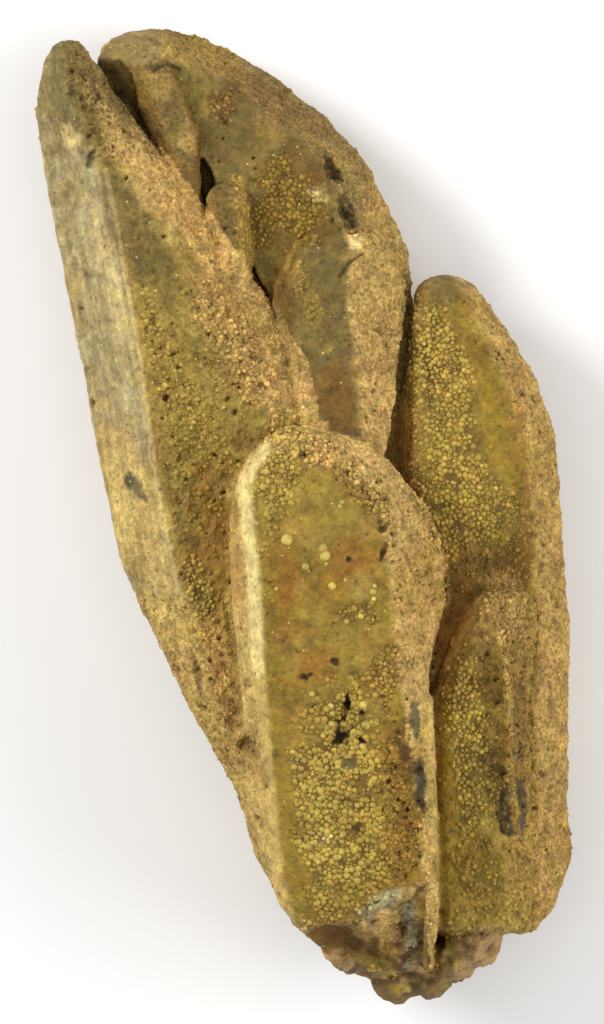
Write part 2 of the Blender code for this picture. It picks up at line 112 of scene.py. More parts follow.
class Chance:
    """Seeded noise on arrays of points, the same at every run."""

    TURN = np.array(((0.36, 0.48, -0.80), (-0.80, 0.60, 0.0), (0.48, 0.64, 0.60)))

    @staticmethod
    def hashed(cells: Array, seed: int) -> Array:
        """A number from 0 to 1 for each whole-number cell.

        Args:
            cells: Whole numbers, three to a row.
            seed: Which series of numbers to take.

        Returns:
            One number for each row.
        """
        c = cells.astype(np.int64).astype(np.uint32)
        mixed = c[:, 0] * np.uint32(374761393) + c[:, 1] * np.uint32(668265263)
        mixed = mixed + c[:, 2] * np.uint32(2246822519) + np.uint32(seed * 97 + 13)
        mixed = (mixed ^ (mixed >> np.uint32(13))) * np.uint32(1274126177)
        mixed = (mixed ^ (mixed >> np.uint32(15))) * np.uint32(2654435761)
        return (mixed ^ (mixed >> np.uint32(16))) / 4294967296.0

    @classmethod
    def waves(cls, points: Array, size: float, seed: int) -> Array:
        """Smooth noise from -1 to 1 whose swells are about this size.

        Args:
            points: Positions in millimetres.
            size: Distance between swells, in millimetres.
            seed: Which noise to take.

        Returns:
            One value for each point.
        """
        turned = points @ cls.TURN.T / size + seed * 7.31
        cell = np.floor(turned)
        part = turned - cell
        part = part * part * part * (part * (part * 6.0 - 15.0) + 10.0)
        total = np.zeros(len(points))
        for corner in range(8):
            step = np.array((corner & 1, corner >> 1 & 1, corner >> 2 & 1), dtype=float)
            share = np.prod(np.where(step > 0.0, part, 1.0 - part), axis=1)
            total += share * cls.hashed(cell + step, seed)
        return total * 2.0 - 1.0

    @classmethod
    def swell(cls, points: Array, size: float, seed: int) -> Array:
        """Smooth noise in three sizes, each half the last, from about -1 to 1.

        Args:
            points: Positions in millimetres.
            size: Distance between the largest swells, in millimetres.
            seed: Which noise to take.

        Returns:
            One value for each point.
        """
        first = cls.waves(points, size, seed)
        second = cls.waves(points, size * 0.5, seed + 1)
        third = cls.waves(points, size * 0.25, seed + 2)
        return (first + 0.5 * second + 0.25 * third) / 1.3

    @classmethod
    def bent(cls, points: Array, size: float, by: float, seed: int) -> Array:
        """The points, each moved a little by smooth noise."""
        moves = [cls.waves(points, size, seed + k) for k in range(3)]
        return points + by * np.stack(moves, axis=1)

    @classmethod
    def cells(cls, points: Array, size: float, seed: int) -> tuple[Array, Array]:
        """Distance to the nearest of many strewn seeds, and that seed's own number.

        Args:
            points: Positions in millimetres.
            size: Distance between seeds, in millimetres.
            seed: Which strewing to take.

        Returns:
            Distance in millimetres, and a number from 0 to 1.
        """
        scaled = points / size
        home = np.floor(scaled)
        nearest = np.full(len(points), 9.0)
        number = np.zeros(len(points))
        for index in range(27):
            step = np.array((index % 3, index // 3 % 3, index // 9), dtype=float) - 1.0
            cell = home + step
            spot = cell + np.stack([cls.hashed(cell, seed + k) for k in (1, 2, 3)], axis=1)
            gap = ((spot - scaled) ** 2).sum(axis=1)
            closer = gap < nearest
            nearest[closer] = gap[closer]
            number[closer] = cls.hashed(cell[closer], seed + 4)
        return np.sqrt(nearest) * size, number


def eased(value: Array, low: float, high: float) -> Array:
    """0 below low, 1 above high, and a smooth rise between.

    Args:
        value: The values to ease.
        low: Where the rise starts.
        high: Where it ends.

    Returns:
        Values from 0 to 1.
    """
    share = np.clip((value - low) / (high - low), 0.0, 1.0)
    return share * share * (3.0 - 2.0 * share)


def linear(red: int, green: int, blue: int) -> Array:
    """A colour of 0 to 255 in each channel, as linear light."""
    parts = np.array((red, green, blue)) / 255.0
    return np.where(parts <= 0.04045, parts / 12.92, ((parts + 0.055) / 1.055) ** 2.4)


class Paint(Enum):
    """The colours of the crust and of what shows through it, and a dark brown painted in as shade."""

    OLIVE = (143, 116, 38)
    DARK_OLIVE = (112, 96, 50)
    GREEN_GREY = (156, 132, 62)
    YELLOW_OLIVE = (172, 147, 66)
    LEMON = (196, 174, 88)
    OCHRE = (172, 138, 64)
    SAND = (216, 178, 106)
    TAN = (197, 160, 90)
    LIGHT_TAN = (198, 167, 94)
    DULL_TAN = (158, 133, 80)
    PALE_KHAKI = (228, 204, 132)
    GREY_KHAKI = (170, 154, 108)
    RUST = (146, 98, 32)
    RED_BROWN = (168, 116, 58)
    BROWN = (116, 85, 34)
    DARK_BROWN = (82, 56, 26)
    # Painted shade: laid in slits, hollows, cracks and gaps where shade falls.
    HOLLOW_SHADE_BROWN = (36, 27, 13)
    SLATE = (80, 73, 54)
    STONE = (172, 161, 122)
    ROCK_PINK = (172, 140, 94)
    ROCK_BROWN = (134, 108, 66)

    def light(self) -> Array:
        """The colour as linear light."""
        return linear(*self.value)


def mix(tint: Array, paint: Paint, weight: Array) -> None:
    """Mixes a colour into the tint by these weights."""
    tint += weight[:, None] * (paint.light() - tint)


@dataclass(frozen=True)
class Cloud:
    """A paint that shows in soft clouds where a noise is high or, with a turn of -1, low."""

    paint: Paint
    size: float
    seed: int
    share: float
    rise: tuple[float, float]
    turn: float = 1.0

    def lay(self, tint: Array, inner: Array) -> None:
        """Mixes the paint into the tint of these points, which are in millimetres."""
        noise = self.turn * Chance.swell(inner, self.size, self.seed)
        mix(tint, self.paint, self.share * eased(noise, *self.rise))


# The sides and the back, which the front view doesn't show.
SIDE_CLOUDS = (
    Cloud(Paint.OLIVE, 9.0, 50, 1.0, (-0.15, 0.35)),
    Cloud(Paint.TAN, 6.0, 60, 0.8, (0.1, 0.5)),
    Cloud(Paint.BROWN, 5.0, 70, 0.6, (0.3, 0.7)),
)
# Browner, yellower and greyer places all over.
MOTTLE_CLOUDS = (
    Cloud(Paint.RUST, 5.0, 90, 0.24, (0.05, 0.6)),
    Cloud(Paint.YELLOW_OLIVE, 3.4, 93, 0.30, (0.05, 0.6)),
    Cloud(Paint.DARK_OLIVE, 5.0, 90, 0.20, (0.1, 0.6), -1.0),
    Cloud(Paint.BROWN, 1.5, 99, 0.40, (0.05, 0.50)),
    Cloud(Paint.OCHRE, 1.5, 99, 0.30, (0.05, 0.55), -1.0),
)
# The rock at the broken foot.
ROCK_CLOUDS = (
    Cloud(Paint.ROCK_PINK, 2.4, 55, 0.8, (0.0, 0.5)),
    Cloud(Paint.DARK_BROWN, 0.9, 52, 0.7, (0.15, 0.6)),
    Cloud(Paint.SAND, 0.9, 52, 0.7, (0.15, 0.6), -1.0),
    Cloud(Paint.OLIVE, 1.6, 58, 0.6, (0.2, 0.6)),
)


TRAITS = ("grain", "fine", "globules", "large", "pits", "grooves", "rock")


@dataclass(frozen=True)
class Coat:
    """How one face of a crystal is coated: its colour, and how grainy and knobbly it is."""

    paint: Paint
    grain: float = 0.6
    fine: float = 0.5
    globules: float = 0.0
    large: float = 0.0
    pits: float = 0.0
    grooves: float = 0.0
    rock: float = 0.0


@dataclass(frozen=True)
class CrystalFaces:
    """One crystal as the front view shows it.

    Each row is down, left edge, left ridge, right ridge, right edge.
    """

    name: str
    rows: tuple[tuple[float, ...], ...]
    coats: tuple[Coat, Coat, Coat]
    margin: float = 0.45
    softness: float = 0.4
    top_margin: float = 0.8
    foot_margin: float = 0.4

    def inside(self, across: Array, down: Array) -> Array:
        """Which places lie within the crystal's outline.

        Args:
            across: Places across, in millimetres.
            down: Places down, in millimetres.

        Returns:
            True for each place inside.
        """
        left, _, _, right = self.lines(down)
        within = (across > left - self.margin) & (across < right + self.margin)
        top, foot = self.rows[0][0] - self.top_margin, self.rows[-1][0] + self.foot_margin
        return within & (down > top) & (down < foot)

    def lines(self, down: Array) -> list[Array]:
        """The two edges and two ridges at these distances down."""
        downs = [row[0] for row in self.rows]
        return [np.interp(down, downs, [row[k] for row in self.rows]) for k in (1, 2, 3, 4)]

    def shares(self, across: Array, down: Array) -> list[Array]:
        """How far each place belongs to the left, the front and the right face.

        Args:
            across: Places across, in millimetres.
            down: Places down, in millimetres.

        Returns:
            Three arrays that add up to 1.
        """
        _, left_ridge, right_ridge, _ = self.lines(down)
        past_left = eased(across - left_ridge, -self.softness, self.softness)
        past_right = eased(across - right_ridge, -self.softness, self.softness)
        return [1.0 - past_left, past_left * (1.0 - past_right), past_left * past_right]


# A patch with a half width under this is made ragged by fine noise alone.
SMALL_PATCH = 0.8
# A wide patch takes this much of the fine noise besides the coarse one.
FINE_SHARE = 0.4


@dataclass(frozen=True)
class Patch:
    """A ragged oval patch of the crust that differs from what surrounds it.

    With a lean above 0 the patch runs to the right as it goes down.
    """

    across: float
    down: float
    half_width: float
    half_length: float
    lean: float = 0.0
    paint: Paint | None = None
    strength: float = 1.0
    edge: float = 0.3
    ragged: float = 0.4
    depth: float = 0.0
    grain: float | None = None
    fine: float | None = None
    globules: float | None = None
    large: float | None = None
    pits: float | None = None
    grooves: float | None = None
    rock: float | None = None

    def weight(self, across: Array, down: Array, wobbles: tuple[Array, ...]) -> Array:
        """How far each place belongs to the patch.

        Args:
            across: Places across, in millimetres.
            down: Places down, in millimetres.
            wobbles: Coarse and fine noise from -1 to 1 that makes the edge ragged.

        Returns:
            Values from 0 to 1.
        """
        lean = math.radians(self.lean)
        x = across - self.across
        y = down - self.down
        u = (x * math.cos(lean) - y * math.sin(lean)) / self.half_width
        v = (x * math.sin(lean) + y * math.cos(lean)) / self.half_length
        small = min(1.0, SMALL_PATCH / self.half_width)
        wobble = wobbles[0] * (1.0 - small) + wobbles[1] * (FINE_SHARE + small)
        reach = np.sqrt(u * u + v * v) + self.ragged * wobble
        return 1.0 - eased(reach, 1.0 - self.edge, 1.0 + self.edge)


@dataclass(frozen=True)
class Crease:
    """A ridge or groove of the crust along a line of the front view."""

    points: tuple[tuple[float, float], ...]
    width: float
    height: float
    paint: Paint | None = None
    strength: float = 0.8
    roughness: float | None = None

    def weight(self, across: Array, down: Array) -> Array:
        """How near each place is to the line, from 0 to 1, with a flat middle.

        Args:
            across: Places across, in millimetres.
            down: Places down, in millimetres.

        Returns:
            Values from 0 to 1.
        """
        nearest = np.full(len(across), 1e6)
        for (x0, y0), (x1, y1) in zip(self.points, self.points[1:]):
            length = (x1 - x0) ** 2 + (y1 - y0) ** 2
            share = ((across - x0) * (x1 - x0) + (down - y0) * (y1 - y0)) / length
            share = np.clip(share, 0.0, 1.0)
            gap = (across - x0 - share * (x1 - x0)) ** 2 + (down - y0 - share * (y1 - y0)) ** 2
            nearest = np.minimum(nearest, gap)
        return np.exp(-((nearest / (self.width * self.width)) ** 2))


FRONT_CRYSTAL = CrystalFaces(
    "front_crystal",
    (
        (42.9, 28.3, 28.6, 29.0, 32.4), (44.3, 26.4, 27.4, 30.4, 36.2),
        (46.9, 23.9, 25.7, 33.8, 39.6), (50.5, 22.9, 25.3, 37.4, 42.8),
        (54.5, 22.8, 25.4, 38.6, 44.3), (60.0, 23.1, 25.8, 39.2, 44.5),
        (65.5, 23.6, 26.3, 39.6, 43.2), (71.0, 24.1, 26.9, 40.4, 42.8),
        (80.0, 24.6, 27.6, 41.6, 43.0), (86.0, 26.1, 28.2, 42.1, 43.5),
        (90.5, 28.2, 29.3, 42.5, 43.7), (97.2, 34.0, 34.4, 41.6, 42.8),
    ),
    (
        Coat(Paint.LIGHT_TAN, grain=0.4, fine=0.45, pits=0.1),
        Coat(Paint.OLIVE, grain=0.3, fine=0.14, pits=0.05),
        Coat(Paint.SAND, grain=0.8, fine=0.7, pits=0.4),
    ),
)
LEFT_FOOT = CrystalFaces(
    "left_foot",
    (
        (60.3, 14.2, 17.4, 21.4, 25.4), (66.2, 16.9, 20.2, 23.8, 28.6),
        (76.0, 21.7, 24.0, 26.8, 31.4), (86.0, 25.7, 27.4, 30.5, 34.4),
        (93.0, 29.5, 31.6, 35.0, 38.4),
    ),
    (
        Coat(Paint.LIGHT_TAN, grain=0.7, fine=0.8, pits=0.2),
        Coat(Paint.TAN, grain=0.8, fine=0.8, pits=0.3),
        Coat(Paint.OCHRE, grain=0.8, fine=0.8, pits=0.3),
    ),
    softness=0.8,
)
LOWER_RIGHT_CRYSTAL = CrystalFaces(
    "lower_right_crystal",
    (
        (58.8, 48.8, 49.2, 49.8, 51.9), (60.1, 47.4, 48.2, 50.0, 53.3),
        (62.6, 45.8, 46.9, 49.8, 53.6), (66.0, 44.2, 45.6, 50.0, 53.2),
        (70.5, 42.7, 44.2, 50.2, 52.8), (80.0, 42.3, 43.4, 50.6, 52.9),
        (88.0, 42.6, 43.6, 51.2, 53.0), (93.1, 43.2, 44.0, 51.6, 53.0),
    ),
    (
        Coat(Paint.SAND, grain=0.4, fine=0.4),
        Coat(Paint.YELLOW_OLIVE, grain=0.4, fine=0.3, globules=0.15),
        Coat(Paint.OCHRE, grain=1.0, fine=1.0, pits=0.7),
    ),
)
LEFT_BLADE = CrystalFaces(
    "left_blade",
    (
        (4.1, 5.8, 6.4, 7.0, 7.8), (8.2, 3.9, 7.0, 8.3, 10.9), (11.5, 3.5, 7.9, 9.4, 13.2),
        (16.0, 4.2, 9.8, 12.3, 16.6), (22.0, 5.3, 11.8, 17.4, 21.2), (30.0, 6.7, 13.0, 22.2, 26.7),
        (36.5, 7.9, 14.0, 25.6, 30.5), (41.0, 8.6, 14.6, 26.8, 31.4), (48.0, 10.1, 15.7, 27.0, 31.2),
        (57.0, 12.1, 17.5, 27.2, 30.5), (66.0, 16.7, 20.6, 27.5, 30.0),
    ),
    (
        Coat(Paint.GREY_KHAKI, grain=0.25, fine=0.15, grooves=1.0, pits=0.05),
        Coat(Paint.GREEN_GREY, grain=0.6, fine=0.4, pits=0.16, globules=0.05),
        Coat(Paint.SAND, grain=0.9, fine=0.8, pits=0.1),
    ),
    softness=0.35,
)
SLENDER_CRYSTAL = CrystalFaces(
    "slender_crystal",
    (
        (5.9, 13.6, 14.6, 16.1, 16.6), (11.0, 13.9, 15.6, 18.2, 18.8),
        (15.2, 15.9, 17.2, 19.3, 19.8), (19.2, 17.1, 18.0, 19.5, 20.0),
    ),
    (
        Coat(Paint.BROWN, grain=0.5, fine=0.4),
        Coat(Paint.DARK_OLIVE, grain=0.9, fine=0.5, pits=0.2),
        Coat(Paint.BROWN, grain=0.7, fine=0.6),
    ),
)
SMALL_CRYSTAL = CrystalFaces(
    "small_crystal",
    (
        (18.3, 21.9, 22.2, 23.1, 23.6), (19.4, 20.5, 21.2, 23.7, 24.4),
        (22.4, 20.9, 21.5, 23.6, 24.9), (26.0, 21.6, 22.2, 23.9, 25.0), (32.0, 23.2, 23.6, 24.8, 25.4),
    ),
    (
        Coat(Paint.DARK_OLIVE, grain=0.5, fine=0.4),
        Coat(Paint.DARK_OLIVE, grain=0.6, fine=0.6, pits=0.2),
        Coat(Paint.OCHRE, grain=0.8, fine=0.9, globules=0.3),
    ),
)
MIDDLE_CRYSTAL = CrystalFaces(
    "middle_crystal",
    (
        (23.7, 30.8, 31.2, 34.4, 35.8), (25.0, 29.0, 29.9, 35.6, 38.6), (28.4, 27.4, 29.2, 34.6, 40.9),
        (33.0, 26.9, 29.3, 35.1, 40.7), (38.5, 26.8, 30.0, 35.8, 39.6), (46.0, 26.8, 30.6, 36.3, 38.5),
    ),
    (
        Coat(Paint.BROWN, grain=0.5, fine=0.4),
        Coat(Paint.DARK_OLIVE, grain=0.4, fine=0.2, pits=0.05),
        Coat(Paint.SAND, grain=0.9, fine=0.9, pits=0.2),
    ),
)
RIGHT_CRYSTAL = CrystalFaces(
    "right_crystal",
    (
        (27.7, 43.1, 43.4, 45.2, 46.0), (28.7, 41.3, 42.0, 46.0, 47.5), (32.2, 41.0, 41.8, 47.6, 50.1),
        (38.0, 40.2, 41.7, 50.4, 53.6), (44.0, 39.4, 41.7, 52.4, 55.5), (52.0, 38.8, 41.9, 53.2, 56.2),
        (61.0, 38.6, 42.2, 53.6, 56.9), (72.0, 39.5, 43.0, 53.4, 56.8), (80.0, 41.0, 44.2, 53.4, 56.8),
        (90.5, 43.4, 45.8, 52.2, 55.6), (93.2, 44.2, 46.4, 50.8, 53.4),
    ),
    (
        Coat(Paint.SAND, grain=0.4, fine=0.4),
        Coat(Paint.OLIVE, grain=0.4, fine=0.25, globules=0.1),
        Coat(Paint.TAN, grain=0.7, fine=0.8, pits=0.2),
    ),
    softness=0.7,
)
BACK_CRYSTAL = CrystalFaces(
    "back_crystal",
    (
        (3.2, 12.9, 13.6, 15.2, 16.6), (4.2, 10.4, 12.0, 16.0, 20.6), (6.0, 9.6, 11.4, 17.6, 24.6),
        (8.4, 9.6, 11.6, 24.0, 28.6), (11.6, 10.0, 12.0, 27.0, 32.6), (15.6, 11.0, 13.0, 31.6, 36.2),
        (20.2, 12.0, 14.0, 34.4, 38.6), (25.2, 13.0, 15.0, 36.6, 41.0), (34.0, 15.4, 17.4, 38.0, 42.2),
        (61.0, 22.6, 24.6, 38.4, 42.2),
    ),
    (
        Coat(Paint.DARK_OLIVE, grain=0.5, fine=0.4),
        Coat(Paint.DARK_OLIVE, grain=0.4, fine=0.2, pits=0.12, grooves=0.2),
        Coat(Paint.DULL_TAN, grain=0.8, fine=0.9, pits=0.1),
    ),
)
NEAREST_FIRST = (
    FRONT_CRYSTAL, LEFT_FOOT, LOWER_RIGHT_CRYSTAL, LEFT_BLADE, SLENDER_CRYSTAL,
    SMALL_CRYSTAL, MIDDLE_CRYSTAL, RIGHT_CRYSTAL, BACK_CRYSTAL,
)

# Each patch is across, down, half width, half length, lean, paint and strength, and then by name
# whatever else it changes.
PATCHES = (
    # left blade, from its tip down
    Patch(8.0, 8.6, 5.0, 7.0, 10, Paint.DARK_OLIVE, 0.8),
    Patch(9.8, 10.6, 2.4, 7.0, lean=24, grain=1.25, fine=0.8, pits=0.5),
    Patch(13.6, 23.0, 2.0, 8.0, 22, Paint.DARK_OLIVE, 0.85),
    Patch(14.0, 17.0, 1.8, 8.0, 30, Paint.SAND, 0.6, grain=0.9),
    Patch(25.4, 36.0, 1.8, 9.0, 28, Paint.SAND, 0.5, ragged=0.6),
    Patch(7.1, 13.7, 0.8, 1.4, 20, Paint.PALE_KHAKI, 0.5, grain=0.2, fine=0.1),
    # Painted shade in two dark slits of the left blade.
    Patch(9.2, 15.7, 0.35, 1.5, -31, Paint.HOLLOW_SHADE_BROWN, 0.7, depth=0.25),
    Patch(7.1, 8.8, 0.3, 2.4, -10, Paint.HOLLOW_SHADE_BROWN, 0.5, depth=0.15),
    Patch(11.0, 28.0, 0.9, 7.0, 11, Paint.PALE_KHAKI, 0.3),
    Patch(13.6, 52.0, 3.0, 9.0, 16, Paint.LIGHT_TAN, 0.8, fine=0.3),
    Patch(13.3, 48.6, 0.7, 1.8, 28, Paint.SLATE, 0.85, grain=0.1, fine=0.0, depth=0.15),
    Patch(23.2, 34.8, 2.4, 6.0, 30, Paint.TAN, 0.6, grain=1.0, fine=1.0, pits=0.6, globules=0.5),
    Patch(15.6, 33.4, 1.0, 4.4, 12, Paint.YELLOW_OLIVE, 0.4, pits=1.0, globules=0.5),
    Patch(19.4, 43.0, 2.6, 7.6, 12, Paint.YELLOW_OLIVE, 0.7, grain=1.0, fine=0.9, pits=0.4,
          globules=0.3, ragged=0.8, edge=0.6),
    Patch(21.8, 53.5, 2.6, 7.0, 10, Paint.RUST, 0.35, ragged=0.7, fine=0.1),
    Patch(20.2, 59.4, 1.2, 3.4, 18, Paint.YELLOW_OLIVE, 0.8, globules=1.0),
    Patch(23.6, 31.0, 1.5, 6.0, 33, Paint.RUST, 0.25, ragged=0.8),
    # back crystal
    Patch(13.0, 4.9, 4.4, 1.9, -8, Paint.DULL_TAN, 0.7, edge=0.15),
    Patch(20.4, 5.4, 4.6, 1.3, -14, Paint.OCHRE, 0.6, edge=0.15),
    Patch(27.0, 9.6, 5.0, 1.2, -38, Paint.RUST, 0.3, ragged=0.7),
    Patch(16.4, 8.2, 0.9, 1.6, 20, Paint.TAN, 0.35),
    # Painted shade in the gap along the left blade's right edge.
    Patch(28.4, 31.0, 0.9, 5.0, 4, Paint.DARK_BROWN, 0.4),
    Patch(39.2, 24.4, 2.2, 6.0, 16, Paint.TAN, 0.7, edge=0.5),
    Patch(18.8, 13.4, 0.9, 1.6, 10, Paint.TAN, 0.5),
    # Painted shade in the deep slot beside the slender crystal.
    Patch(12.9, 10.6, 1.5, 4.4, 32, Paint.HOLLOW_SHADE_BROWN, 0.45, grain=0.8),
    Patch(22.4, 10.6, 1.3, 1.9, 0, Paint.BROWN, 0.6, globules=0.9, pits=0.8),
    Patch(29.0, 20.2, 3.0, 4.2, 20, Paint.OLIVE, 0.6, globules=1.0, large=0.2),
    Patch(26.4, 22.4, 1.3, 2.6, 0, Paint.OLIVE, 0.5, globules=0.8),
    # Painted shade in two pits of the back crystal, in this row and three rows below.
    Patch(33.1, 17.0, 0.6, 1.2, 20, Paint.HOLLOW_SHADE_BROWN, 0.9, depth=0.5, edge=0.15),
    Patch(31.6, 19.4, 1.0, 0.9, 0, Paint.PALE_KHAKI, 0.6, fine=0.6, ragged=0.7),
    Patch(31.6, 17.9, 0.6, 0.5, 0, Paint.RUST, 0.6),
    Patch(34.9, 21.4, 0.8, 2.0, 22, Paint.HOLLOW_SHADE_BROWN, 0.7, depth=0.4, globules=0.5),
    # middle crystal
    Patch(35.7, 24.2, 0.9, 0.55, -20, Paint.PALE_KHAKI, 0.9, fine=0.0, edge=0.15),
    Patch(33.4, 40.2, 1.9, 3.4, 10, Paint.BROWN, 0.8, grain=0.5, edge=0.2),
    Patch(30.8, 29.4, 0.9, 4.6, 12, Paint.YELLOW_OLIVE, 0.5, globules=0.4, fine=0.8),
    Patch(38.6, 30.0, 1.4, 5.0, -6, Paint.LIGHT_TAN, 0.3),
    # right crystal
    Patch(44.4, 29.2, 2.2, 1.7, 0, Paint.DARK_OLIVE, 0.8, globules=0.0, grain=0.2, fine=0.1),
    Patch(44.4, 38.6, 3.2, 7.6, 10, Paint.YELLOW_OLIVE, 0.85, globules=1.0),
    Patch(46.4, 49.6, 4.2, 6.6, 16, Paint.YELLOW_OLIVE, 0.8, globules=1.0, large=0.1),
    Patch(49.6, 42.6, 1.5, 5.4, 12, Paint.OLIVE, 0.8, globules=0.0, fine=0.1, grain=0.2),
    Patch(51.8, 42.6, 0.9, 4.8, 10, Paint.RUST, 0.35, globules=0.0, ragged=0.6),
    Patch(48.0, 57.6, 4.0, 2.6, 20, Paint.BROWN, 0.6, globules=0.3, ragged=0.6),
    Patch(52.2, 55.4, 1.1, 3.6, 0, Paint.BROWN, 0.5, globules=0.7, ragged=0.7),
    # front crystal, from its top down
    Patch(27.6, 47.2, 2.3, 5.6, -15, Paint.YELLOW_OLIVE, 0.8, globules=1.0, large=0.5),
    Patch(31.0, 45.2, 3.6, 1.6, -18, Paint.TAN, 0.7, globules=1.0, large=0.3, fine=0.8),
    Patch(36.2, 49.2, 1.3, 4.6, 38, Paint.OCHRE, 0.5, globules=0.6, fine=0.9, pits=1.0),
    Patch(32.2, 52.0, 3.0, 4.4, 10, Paint.GREEN_GREY, 0.35, globules=0.0, grain=0.15),
    Patch(28.7, 57.4, 1.0, 3.0, 0, Paint.RUST, 0.7, ragged=1.0, edge=0.5),
    Patch(29.4, 53.4, 1.6, 1.6, 0, Paint.OCHRE, 0.4, ragged=1.0, edge=0.6),
    Patch(35.2, 55.4, 3.4, 1.3, 0, Paint.RUST, 0.6, ragged=1.0, edge=0.5),
    Patch(33.4, 58.4, 3.6, 1.6, 0, Paint.RUST, 0.45, ragged=1.0, edge=0.5),
    Patch(37.2, 52.4, 1.5, 1.5, 0, Paint.OCHRE, 0.6, edge=0.6),
    Patch(36.0, 59.0, 1.3, 1.5, 0, Paint.GREEN_GREY, 0.7, edge=0.6),
    Patch(26.8, 58.4, 0.6, 4.4, lean=4, globules=0.4),
    Patch(35.8, 61.3, 2.3, 1.1, lean=6, globules=0.8, large=0.2),
    Patch(30.8, 66.4, 2.2, 2.2, 0, Paint.RUST, 0.6, ragged=1.0, edge=0.5),
    # Painted shade in small hollows of the front crystal, in the five patches that follow.
    Patch(30.4, 67.7, 0.6, 0.3, -10, Paint.HOLLOW_SHADE_BROWN, 0.95, depth=0.3, ragged=0.7),
    Patch(33.3, 66.1, 0.35, 0.28, 0, Paint.HOLLOW_SHADE_BROWN, 0.9, depth=0.2, ragged=0.7),
    Patch(38.3, 52.7, 0.45, 0.5, 0, Paint.HOLLOW_SHADE_BROWN, 0.8, depth=0.3),
    Patch(38.3, 55.2, 0.3, 1.1, -14, Paint.DARK_BROWN, 0.9, depth=0.3),
    Patch(30.3, 45.6, 0.4, 0.4, 0, Paint.HOLLOW_SHADE_BROWN, 0.8, depth=0.3),
    Patch(38.4, 67.6, 1.9, 2.6, -20, Paint.OCHRE, 0.6, globules=1.0, fine=0.6),
    Patch(34.6, 80.6, 5.4, 11.2, 4, Paint.YELLOW_OLIVE, 0.8, globules=0.9, large=0.8),
    Patch(41.8, 59.0, 2.6, 6.0, 0, Paint.OCHRE, 0.7, ragged=0.7),
    Patch(39.9, 80.0, 2.0, 8.8, 4, Paint.RUST, 0.35, globules=0.35, large=0.0, fine=1.0, pits=0.8),
    Patch(32.4, 82.6, 2.4, 5.0, 10, Paint.LEMON, 0.25, ragged=0.8),
    Patch(34.8, 72.6, 2.6, 4.0, 0, Paint.YELLOW_OLIVE, 0.6, globules=1.0, large=1.0),
    # Painted shade in the dark hollows among the globules, in the five patches that follow.
    Patch(34.7, 70.3, 0.45, 0.8, 0, Paint.HOLLOW_SHADE_BROWN, globules=0.0, large=0.0, depth=0.4, edge=0.15),
    Patch(34.2, 71.7, 0.45, 0.7, -30, Paint.HOLLOW_SHADE_BROWN, globules=0.0, large=0.0, depth=0.4, edge=0.15,
          ragged=0.8),
    Patch(33.9, 73.9, 0.6, 1.1, -14, Paint.HOLLOW_SHADE_BROWN, globules=0.0, large=0.0, depth=0.4, edge=0.15,
          ragged=0.8),
    Patch(36.1, 71.2, 0.45, 0.4, 0, Paint.HOLLOW_SHADE_BROWN, globules=0.0, large=0.0, depth=0.3, edge=0.15),
    Patch(36.1, 73.9, 0.4, 0.45, 0, Paint.HOLLOW_SHADE_BROWN, globules=0.0, large=0.0, depth=0.3, edge=0.15),
    Patch(35.0, 76.4, 0.7, 0.55, 0, Paint.SLATE, 0.8, globules=0.0, large=0.0),
    # Painted shade in a gap among the globules.
    Patch(35.6, 82.6, 0.6, 0.5, 0, Paint.HOLLOW_SHADE_BROWN, 0.8, globules=0.2, large=0.2, ragged=0.8),
    Patch(32.4, 83.9, 0.5, 0.4, 0, Paint.PALE_KHAKI, 0.7),
    Patch(28.3, 78.5, 0.8, 14.0, 6.5, Paint.OLIVE, 0.9, globules=0.0, large=0.0, fine=0.05, grain=0.15,
          edge=0.4),
    Patch(41.4, 72.3, 0.5, 2.1, 8, Paint.SLATE, 0.9, globules=0.0, fine=0.0, edge=0.15),
    # Painted shade in a small hollow.
    Patch(40.4, 75.3, 0.5, 1.4, 18, Paint.HOLLOW_SHADE_BROWN, 0.7, globules=0.0, fine=0.2),
    Patch(42.0, 78.4, 0.6, 2.6, 4, Paint.SLATE, globules=0.0, fine=0.0, edge=0.15),
    Patch(41.0, 76.6, 0.5, 3.2, 14, Paint.DARK_BROWN, 0.6, ragged=0.9, pits=1.0),
    # lower right crystal
    Patch(50.2, 61.2, 2.8, 2.8, 0, Paint.TAN, 0.8, globules=0.4, fine=0.8, ragged=0.8, edge=0.6),
    Patch(46.8, 74.4, 2.4, 8.4, 2, Paint.YELLOW_OLIVE, 0.6, globules=1.0),
    Patch(49.0, 70.0, 1.0, 7.0, 4, Paint.BROWN, 0.4, ragged=0.7, pits=0.8),
    Patch(44.6, 84.0, 1.1, 9.0, 0, Paint.OLIVE, 0.8, globules=0.0, fine=0.1, grain=0.2),
    Patch(48.0, 88.0, 2.6, 3.6, 0, Paint.OLIVE, 0.5, globules=0.5, ragged=0.7),
    # Painted shade in a cavity of the lower right crystal.
    Patch(50.5, 81.6, 0.7, 2.6, 4, Paint.HOLLOW_SHADE_BROWN, 0.95, globules=0.1, fine=0.0, ragged=0.6,
          edge=0.15),
    Patch(52.2, 80.6, 0.5, 2.8, 0, Paint.SLATE, 0.9, fine=0.1, edge=0.15),
    Patch(49.4, 78.0, 1.2, 3.4, 10, Paint.DARK_OLIVE, 0.5, globules=0.8, ragged=0.8),
    Patch(51.8, 74.0, 0.8, 9.0, 0, Paint.DARK_BROWN, 0.3, pits=1.0, fine=0.9),
    Patch(45.2, 62.4, 1.2, 3.6, -24, Paint.RED_BROWN, 0.7, grain=0.4),
    # left foot
    # Painted shade in the three pits of the left foot.
    Patch(19.8, 67.2, 0.4, 1.9, 14, Paint.DARK_BROWN, 0.6, depth=0.2),
    Patch(24.5, 74.4, 0.7, 1.0, -10, Paint.BROWN, 0.9, depth=0.4),
    Patch(22.9, 72.2, 0.5, 0.5, 0, Paint.BROWN, 0.6, depth=0.2),
)

